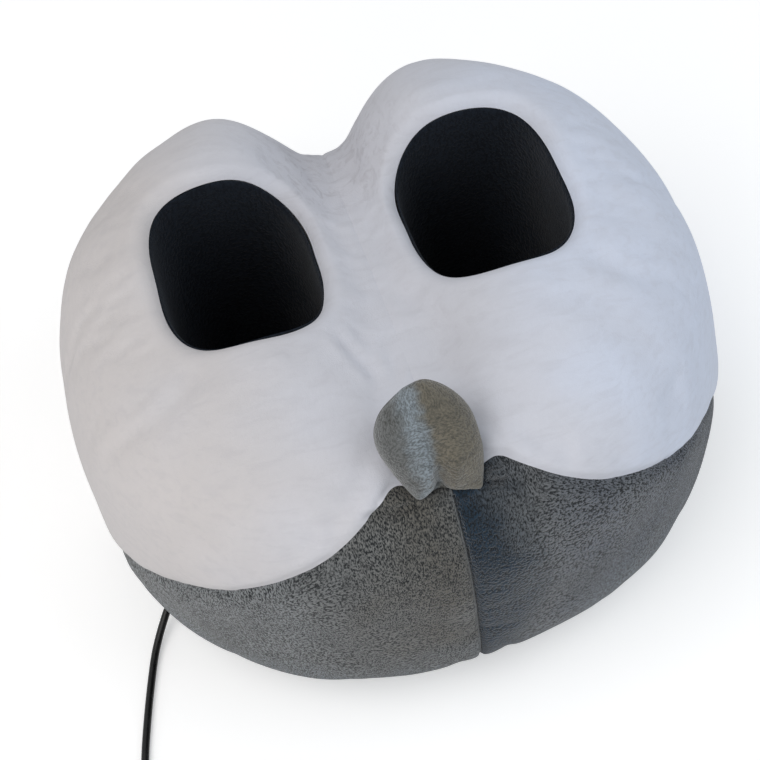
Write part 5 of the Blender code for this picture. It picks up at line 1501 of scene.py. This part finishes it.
    def sculpt(self, skin: bpy.types.Object) -> None:
        """Push and pull the skin: pillows beside the seams, folds, and slow unevenness of the stuffing.

        Args:
            skin: the skin.
        """
        shade(skin)
        points, normals = points_of(skin), normals_of(skin)
        x, y, z = points.T
        over = self.form.over_field_edge(points)
        push = np.zeros(len(points))
        away = np.abs(over)
        push -= self.seam_depth * np.exp(-(away / self.seam_width) ** 2)
        push += self.pillow * np.exp(-((away - self.pillow_reach) / self.pillow_reach) ** 2)
        grey = smooth_step((0.003 - over) / 0.006)
        middle = np.exp(-(x / (0.45 * self.seam_width)) ** 2)
        push -= self.seam_depth * middle * (0.35 + 0.65 * grey)
        push += 0.8 * self.pillow * np.exp(-((np.abs(x) - self.pillow_reach) / self.pillow_reach) ** 2) * grey
        offset = points - np.array(self.slot_place)
        offset[:, 0] = np.maximum(np.abs(offset[:, 0]) - self.slot_half[0], 0.0)
        calm = smooth_step((np.linalg.norm(offset, axis=1) - 0.012) / 0.025)
        push += self.unevenness(points) * smooth_step(z / 0.04) * calm
        hem = smooth_step((0.034 - z) / 0.034)
        turn = np.arctan2(y, x)
        push += 0.0005 * hem * np.sin(turn * 41 + 5.0 * np.sin(turn * 7)) * np.sin(turn * 17 + 1.0)
        for fold in self.folds:
            push += fold.push(points)
        set_points(skin, points + normals * push[:, None])

    def unevenness(self, points: np.ndarray) -> np.ndarray:
        """The stuffing's slow swells, in metres, the same each time."""
        x, y, z = points.T
        return (
            0.0011 * np.sin(31 * x + 17 * y + 0.6) * np.sin(23 * y - 19 * z + 1.1)
            + 0.0007 * np.sin(57 * x - 41 * z + 2.3) * np.sin(47 * y + 29 * x + 0.4)
            + 0.0004 * np.sin(103 * x + 61 * y + 0.9) * np.sin(97 * z - 71 * y + 1.7)
        )

    def cut_panels(self, skin: bpy.types.Object) -> dict:
        """Cut the skin along the white's edge and the middle seam.

        Args:
            skin: the skin.

        Returns:
            The four panels by name.
        """
        shape = bmesh.new()
        shape.from_mesh(skin.data)
        points = np.array([vert.co for vert in shape.verts])
        values = dict(zip(shape.verts, self.form.over_field_edge(points)))
        for edge in list(shape.edges):
            a, b = edge.verts
            if values[a] * values[b] < 0:
                share = values[a] / (values[a] - values[b])
                if share < self.snap_share:
                    a.co = a.co.lerp(b.co, share)
                    values[a] = 0.0
                elif share > 1 - self.snap_share:
                    b.co = b.co.lerp(a.co, 1 - share)
                    values[b] = 0.0
        for edge in list(shape.edges):
            a, b = edge.verts
            if values[a] * values[b] < 0:
                share = values[a] / (values[a] - values[b])
                _, vert = bmesh.utils.edge_split(edge, a, share)
                values[vert] = 0.0
        for face in list(shape.faces):
            marks = [vert for vert in face.verts if values[vert] == 0.0]
            if len(marks) == 2 and not any(edge.other_vert(marks[0]) == marks[1] for edge in face.edges
                                           if marks[0] in edge.verts):
                bmesh.utils.face_split(face, marks[0], marks[1])
        made = {}
        for side in Side:
            for word, sign in (("cheek", 1), ("back", -1)):
                name = f"{word}_{side.word}"
                verts, faces, numbers = [], [], {}
                for face in shape.faces:
                    middle = face.calc_center_median()
                    worth = sum(values[vert] for vert in face.verts)
                    if middle.x * side.value > 0 and worth * sign > 0:
                        row = []
                        for vert in face.verts:
                            if vert not in numbers:
                                numbers[vert] = len(verts)
                                verts.append(vert.co.copy())
                            row.append(numbers[vert])
                        faces.append(row)
                made[name] = mesh_object(f"plush_{name}", verts, faces)
        shape.free()
        bpy.data.objects.remove(skin, do_unlink=True)
        return made

    def finish_panel(self, name: str, panel: bpy.types.Object) -> None:
        """Give a panel its thickness, its finish and its place in the frame.

        Args:
            name: the panel's name.
            panel: its object.
        """
        panel.data.transform(Matrix.Translation((0.0, BODY_Y, 0.0)))
        thicken(panel, self.cover_thickness)
        apply_all(panel)
        points = points_of(panel)
        points[:, 2] = np.maximum(points[:, 2], self.floor_gap)
        set_points(panel, points)
        shade(panel, 60.0)
        finish = Palette.WHITE if name.startswith("cheek") else Palette.GREY
        put_on(panel, Palette.get(finish))
        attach(panel, WARMER)
        word, side = name.split("_")
        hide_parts(f"{word}_cover_{side}")
        LOG.info("%s: %d faces", panel.name, len(panel.data.polygons))

    def lining(self, side: Side, edge: np.ndarray) -> None:
        """The fleece lining of a pocket, from the lip's inner edge down to the sole.

        Args:
            side: which pocket.
            edge: rows of x, y, z where the cover ends.
        """
        form = self.form
        (cx, cy), (hx, hy) = form.pocket_middle(), form.mouth_half()
        cx *= side.value
        radius = self.lip_radius
        a, b = (edge[:, 0] - cx), (edge[:, 1] - cy)
        inward = radius * (1 - math.sin(math.radians(self.lip_turn)))
        a, b = a / (hx + inward), b / (hy + inward)
        top = edge[:, 2] + radius * (1 - math.cos(math.radians(self.lip_turn)))
        rings = [edge - np.array((0.0, 0.0, 0.0006))]
        for turn in (76.0, 90.0):
            step = radius * (1 - math.sin(math.radians(turn)))
            drop = radius * (1 - math.cos(math.radians(turn)))
            rings.append(np.stack([cx + a * (hx + step), cy + b * (hy + step), top - drop], axis=1))
        crest = rings[-1]
        for toe, low, high, share in form.pocket_levels(self.levels_down):
            middle, half = (form.heel_y + toe) / 2, (form.heel_y - toe) / 2
            level = np.full(len(a), low)
            level = np.where(level > crest[:, 2] - 0.004, crest[:, 2] - 0.004 * (1 + (0.191 - low) / 0.191), level)
            rings.append(np.stack([cx + a * hx * share, middle + b * half, level], axis=1))
        count = len(a)
        points = np.concatenate(rings)
        faces = band_faces(len(rings), count) + fan_faces(len(points) - count, count, len(points))
        points = np.concatenate([points, rings[-1].mean(axis=0)[None, :]])
        item = mesh_object(f"pocket_fleece_{side.word}", points + np.array((0.0, BODY_Y, 0.0)), faces)
        smoothed(item)
        thicken(item, self.lining_thickness, 1.0)
        apply_all(item)
        shade(item, 60.0)
        put_on(item, Palette.get(Palette.LINING))
        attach(item, WARMER)
        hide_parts(f"pocket_lining_{side.word}")
        LOG.info("%s: %d faces", item.name, len(item.data.polygons))


# What the covers hold and stand on

def copy_of(node: str, name: str) -> bpy.types.Object:
    """A new object with a frame node's form, its split vertices merged.

    Args:
        node: the frame's node.
        name: the new piece's name.

    Returns:
        The new object.
    """
    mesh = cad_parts[node].data.copy()
    mesh.name = name
    mesh.materials.clear()
    shape = bmesh.new()
    shape.from_mesh(mesh)
    bmesh.ops.remove_doubles(shape, verts=shape.verts, dist=0.000002)
    shape.to_mesh(mesh)
    shape.free()
    return linked(name, mesh)


@dataclass
class Stuffing:
    """The fibre filling of both halves, which stays just inside the cover."""

    hull: BVHTree
    clearance: float = 0.0050
    longest: float = 0.009

    def make(self) -> None:
        """Build both halves' filling."""
        for side in Side:
            item = copy_of(f"filling_{side.word}", f"stuffing_{side.word}")
            self.refine(item)
            points = points_of(item)
            points[:, 1] -= BODY_Y
            points = self.inside(points)
            points[:, 1] += BODY_Y
            set_points(item, points)
            shade(item, 50.0)
            put_on(item, Palette.get(Palette.FIBRE))
            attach(item, WARMER)
            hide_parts(f"filling_{side.word}")
            LOG.info("%s: %d faces", item.name, len(item.data.polygons))

    def refine(self, item: bpy.types.Object) -> None:
        """Divide an object's long edges until none is longer than the limit.

        Args:
            item: the object.
        """
        shape = bmesh.new()
        shape.from_mesh(item.data)
        for _ in range(5):
            long = [edge for edge in shape.edges if edge.calc_length() > self.longest]
            if not long:
                break
            bmesh.ops.subdivide_edges(shape, edges=long, cuts=1)
            bmesh.ops.triangulate(shape, faces=[face for face in shape.faces if len(face.verts) > 4])
        shape.to_mesh(item.data)
        shape.free()

    def inside(self, points: np.ndarray) -> np.ndarray:
        """Points drawn in behind the cover wherever they come too near it.

        Args:
            points: rows of x, y, z.

        Returns:
            The new rows.
        """
        rows = []
        for point in points:
            place = Vector(point)
            near, normal, _, _ = self.hull.find_nearest(place)
            if (place - near).dot(normal) > -self.clearance:
                place = near - normal * self.clearance
            rows.append(place)
        return np.array(rows)


@dataclass
class Base:
    """The dark panel underneath with its rolled hem, and the grip dots that it stands on."""

    dot_pitch: float = 0.0125
    dot_radius: float = 0.0021
    dot_height: float = 0.0007
    edge_share: float = 0.94
    half: tuple = (0.1589, 0.1490)
    power: float = 2.27
    hem_level: float = 0.003
    hem_tuck: float = 0.0034
    hem_round: float = 0.0005
    row_share: float = 0.866

    def make(self, hull: BVHTree) -> None:
        """Build the panel and its dots.

        Args:
            hull: the cover's outer skin.
        """
        cloth = copy_of("base_panel", "base_cloth")
        points = points_of(cloth)
        points[:, 2] = np.maximum(points[:, 2], self.dot_height)
        self.reach_hem(points, hull)
        set_points(cloth, points)
        modifier = cloth.modifiers.new("hem", "BEVEL")
        modifier.width = self.hem_round
        modifier.segments = 3
        modifier.angle_limit = math.radians(60.0)
        apply_all(cloth)
        shade(cloth, 50.0)
        put_on(cloth, Palette.get(Palette.BASE))
        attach(cloth, WARMER)
        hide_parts("base_panel")
        self.dots()

    def reach_hem(self, points: np.ndarray, hull: BVHTree) -> None:
        """Carry the panel's rim out into the cover's hem, where the two are sewn together.

        Args:
            points: rows of x, y, z of the rim, changed in place.
            hull: the cover's outer skin, in the body's own place.
        """
        for point in points:
            way = Vector((point[0], point[1] - BODY_Y, 0.0)).normalized()
            far = hull.ray_cast(Vector((0.0, 0.0, self.hem_level)), way)[3]
            if far is not None:
                point[0] = way.x * (far - self.hem_tuck)
                point[1] = way.y * (far - self.hem_tuck) + BODY_Y

    def dots(self) -> None:
        """Build the grip dots in rows, each row half a pitch aside from the next."""
        points, faces = [], []
        rows = int(self.half[1] / (self.dot_pitch * self.row_share))
        columns = int(self.half[0] / self.dot_pitch)
        for row in range(-rows, rows + 1):
            for column in range(-columns, columns + 1):
                x = (column + 0.5 * (row % 2)) * self.dot_pitch
                y = row * self.dot_pitch * self.row_share
                norm = (abs(x / self.half[0]) ** self.power + abs(y / self.half[1]) ** self.power) ** (1 / self.power)
                if norm > self.edge_share:
                    continue
                self.dot(points, faces, x, y + BODY_Y)
        item = mesh_object("grip_dots", np.array(points), faces)
        shade(item, 50.0)
        put_on(item, Palette.get(Palette.RUBBER))
        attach(item, WARMER)
        LOG.info("grip_dots: %d faces", len(item.data.polygons))

    def dot(self, points: list, faces: list, x: float, y: float) -> None:
        """Add one dot, a low round dome that is flat underneath.

        Args:
            points: the points so far.
            faces: the faces so far.
            x: the dot's place across.
            y: its place along.
        """
        start, sides = len(points), 8
        levels = ((self.dot_radius, self.dot_height + 0.0002), (0.9 * self.dot_radius, 0.0002),
                  (0.7 * self.dot_radius, 0.0))
        for radius, height in levels:
            for k in range(sides):
                turn = 2 * math.pi * k / sides
                points.append((x + radius * math.cos(turn), y + radius * math.sin(turn), height))
        for level in range(len(levels) - 1):
            for k in range(sides):
                after = (k + 1) % sides
                upper, lower = start + level * sides, start + (level + 1) * sides
                faces.append([upper + after, upper + k, lower + k, lower + after])
        faces.append([start + k for k in range(sides)])
        last = start + (len(levels) - 1) * sides
        faces.append([last + k for k in reversed(range(sides))])


# Tail

def closed_spline(route: tuple, parts: int) -> np.ndarray:
    """Points of a smooth closed curve through places in a plane.

    Args:
        route: pairs of x and y, in order round the curve.
        parts: how many steps each stretch gets.

    Returns:
        Rows of x and y.
    """
    around = [(x, y, 0.0) for x, y in (route[-1], *route, route[0], route[1])]
    curve = spline_through(around, parts)[parts:-parts - 1]
    return np.array([(point.x, point.y) for point in curve])


@dataclass
class Tail:
    """The short stuffed tail: two panels sewn round their edge, a crease up the front, and a sewn root.

    Its own frame has x across, y up the tail from the root and z out of the front.
    """

    root: tuple = (-0.005, -0.151856, 0.198003)
    lean: float = 52.99
    outline: tuple = ((0.0064, 0.0656), (-0.0040, 0.0650), (-0.0112, 0.0618), (-0.0210, 0.0555), (-0.0268, 0.0470),
                      (-0.0284, 0.0390), (-0.0272, 0.0300), (-0.0214, 0.0145), (-0.0158, 0.0032), (-0.0138, 0.0012),
                      (-0.0112, 0.0010), (-0.0018, 0.0042), (0.0080, 0.0002), (0.0188, -0.0032), (0.0212, -0.0026),
                      (0.0228, 0.0006), (0.0266, 0.0140), (0.0276, 0.0260), (0.0258, 0.0430), (0.0180, 0.0567))
    heart: tuple = (0.0005, 0.0320)
    steps: int = 6
    rings: int = 22
    front_bulge: float = 0.0182
    back_bulge: float = 0.0084
    base_bulge: float = 0.0080
    cover: float = 0.0018
    crease: tuple = ((-0.0016, 0.0030), (0.0006, 0.0230), (0.0022, 0.0460))
    crease_depth: float = 0.0075
    crease_width: float = 0.0030
    roll_radius: float = 0.0030
    roll_half: float = 0.0200

    def place(self) -> Matrix:
        """The tail's frame."""
        return Matrix.Translation(self.root) @ Matrix.Rotation(math.radians(self.lean), 4, "X")

    def make(self) -> None:
        """Build the panels, the stuffing and the root."""
        for name, node, front in (("tail_plush_front", "tail_front", True), ("tail_plush_back", "tail_back", False)):
            points, faces = self.dome(front, 0.0)
            item = mesh_object(name, points, faces)
            thicken(item, self.cover)
            smoothed(item)
            self.finish(item, Palette.TAIL, "grey_plush", node)
        stuffing = self.stuffing()
        self.finish(stuffing, Palette.FIBRE, "filling", "tail_filling")
        self.finish(self.roll(), Palette.GREY, "grey_plush", "tail_root_roll")

    def finish(self, item: bpy.types.Object, finish: Finish, slot: str, node: str) -> None:
        """Place a piece and dress it, and hide the frame's node that it stands for.

        Args:
            item: the piece, in the tail's frame.
            finish: its finish.
            slot: the record's material slot; not used.
            node: the frame's node that it stands for.
        """
        item.data.transform(self.place())
        shade(item, 60.0)
        put_on(item, Palette.get(finish))
        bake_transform(item)
        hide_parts(node)
        LOG.info("%s: %d faces", item.name, len(item.data.polygons))

    def height(self, places: np.ndarray, share: float, rim: np.ndarray, front: bool) -> np.ndarray:
        """How far one face of the tail stands out.

        Args:
            places: rows of x and y.
            share: how far towards the rim they lie.
            rim: the rim's y for each of them.
            front: whether it is the front.

        Returns:
            The heights, all above zero.
        """
        x, y = places.T
        at_base = smooth_step((0.014 - rim) / 0.012)
        if front:
            full = self.base_bulge + (self.front_bulge - self.base_bulge) * smooth_step((y + 0.001) / 0.026)
            power, root = 2.5 + 3.5 * at_base, 0.52 - 0.12 * at_base
        else:
            full = 0.0006 + self.back_bulge * smooth_step((y + 0.001) / 0.030)
            power, root = np.full_like(x, 2.4), np.full_like(x, 0.55)
        height = full * (1 - share ** power) ** root
        if front:
            height -= self.crease_at(x, y) * smooth_step((1 - share) / 0.05 + 0.15)
            height += 0.00045 * np.sin(x * 900 + 1.0) * np.sin(x * 340 + 0.5) * smooth_step((0.018 - y) / 0.018)
        else:
            height -= 0.0006 * np.exp(-((x - 0.001) / 0.004) ** 2)
        height += 0.0004 * np.sin(x * 210 + 0.4) * np.sin(y * 170 + 1.2) * (1 - share ** 4)
        return np.maximum(height, 0.0002)

    def crease_at(self, x: np.ndarray, y: np.ndarray) -> np.ndarray:
        """The crease's depth at places on the front.

        Args:
            x: places across.
            y: places up the tail.

        Returns:
            The depths.
        """
        xs, ys = np.array(self.crease).T
        rise = np.clip((y - ys[0]) / (ys[-1] - ys[0]), -0.2, 1.2)
        away = x - np.interp(y, ys, xs)
        width = self.crease_width * (1 + 0.9 * np.clip(rise, 0, 1))
        depth = self.crease_depth * (1 - 0.75 * smooth_step(rise)) * smooth_step((1.2 - rise) / 0.4)
        side = np.where(away > 0, 1.5, 0.8)
        return depth * (np.exp(-(away / (width * side)) ** 2) - 0.25 * np.exp(-((away - 2.2 * width) / width) ** 2))

    def dome(self, front: bool, inset: float) -> tuple:
        """One face of the tail from its rim to its middle.

        Args:
            front: whether it is the front.
            inset: how far it is drawn in.

        Returns:
            The points and faces.
        """
        rim = closed_spline(self.outline, self.steps)
        heart = np.array(self.heart)
        count = len(rim)
        trim = 1 - inset / 0.026
        sign = 1.0 if front else -1.0
        points = []
        for ring in range(self.rings):
            share = math.cos(math.pi / 2 * ring / self.rings)
            places = heart + (rim - heart) * share * trim
            height = np.maximum(self.height(places, share, rim[:, 1], front) - inset, 0.0002)
            points.append(np.column_stack([places, sign * height]))
        centre = self.height(heart[None, :], 0.0, np.array([0.05]), front)[0] - inset
        points.append(np.array([[*heart, sign * centre]]))
        faces = band_faces(self.rings, count) + fan_faces((self.rings - 1) * count, count, self.rings * count)
        if not front:
            faces = [list(reversed(face)) for face in faces]
        return np.concatenate(points), faces

    def stuffing(self) -> bpy.types.Object:
        """The filling, both faces joined round their edge.

        Returns:
            The new object, in the tail's frame.
        """
        front, front_faces = self.dome(True, self.cover + 0.0008)
        back, back_faces = self.dome(False, self.cover + 0.0008)
        shift = len(front)
        count = len(self.outline) * self.steps
        faces = front_faces + [[shift + k for k in face] for face in back_faces]
        for k in range(count):
            after = (k + 1) % count
            faces.append([after, k, shift + k, shift + after])
        return mesh_object("tail_stuffing", np.concatenate([front, back]), faces)

    def roll(self) -> bpy.types.Object:
        """The sewn root: a small roll of the same plush with rounded ends.

        Returns:
            The new object, in the tail's frame.
        """
        rings, sides = 24, 20
        points = []
        for ring in range(rings + 1):
            along = math.cos(math.pi * ring / rings)
            radius = self.roll_radius * max(0.04, (1 - abs(along) ** 5)) ** 0.5
            for k in range(sides):
                turn = 2 * math.pi * k / sides
                points.append((-self.roll_half * along, radius * math.cos(turn), radius * math.sin(turn)))
        ends = [list(reversed(range(sides))), [rings * sides + k for k in range(sides)]]
        return mesh_object("tail_root", np.array(points), band_faces(rings + 1, sides) + ends)


# The whole

def dress_nodes() -> None:
    """Give the frame's own nodes their finishes."""
    plan = {
        "zip_tape": Palette.TAPE, "zip_teeth": Palette.TEETH, "zip_stop": Palette.METAL,
        "zip_slider": Palette.METAL, "zip_puller": Palette.METAL, "cord_boot": Palette.RUBBER,
        "coil_tie": Palette.BASE, "controller_screw": Palette.METAL, "controller_board": Palette.BOARD,
        "controller_boot": Palette.RUBBER, "controller_button": Palette.RUBBER, "controller": Palette.SHELL,
        "board_switch": Palette.METAL, "board_lamp": Palette.LENS, "lamp_window": Palette.LENS,
        "plug_boot": Palette.RUBBER, "plug_grip": Palette.SHELL, "plug_shell": Palette.METAL,
        "plug_tongue": Palette.SHELL, "plug_contact": Palette.GOLD, "heating_wire": Palette.WIRE,
        "heater_lead": Palette.CORD, "heater_felt": Palette.FELT, "thermal_cutout": Palette.SHELL,
        "foam_sole": Palette.FOAM, "base_panel": Palette.BASE, "filling": Palette.FIBRE,
        "tail_filling": Palette.FIBRE, "tail": Palette.GREY, "pocket_lining": Palette.LINING,
        "cheek_cover": Palette.WHITE, "back_cover": Palette.GREY, "cord": Palette.CORD,
    }
    for name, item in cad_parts.items():
        for start, finish in plan.items():
            if name.startswith(start):
                put_on(item, Palette.get(finish))
                break


def main() -> None:
    """Build the studio and every piece."""
    logging.basicConfig(level=logging.INFO, format="%(message)s")
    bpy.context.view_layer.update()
    Studio().make()
    dress_nodes()
    SupplyCord().make()
    hull = PlushBody().make()
    Stuffing(hull).make()
    Base().make(hull)
    Tail().make()


if __name__ == "__main__":
    main()
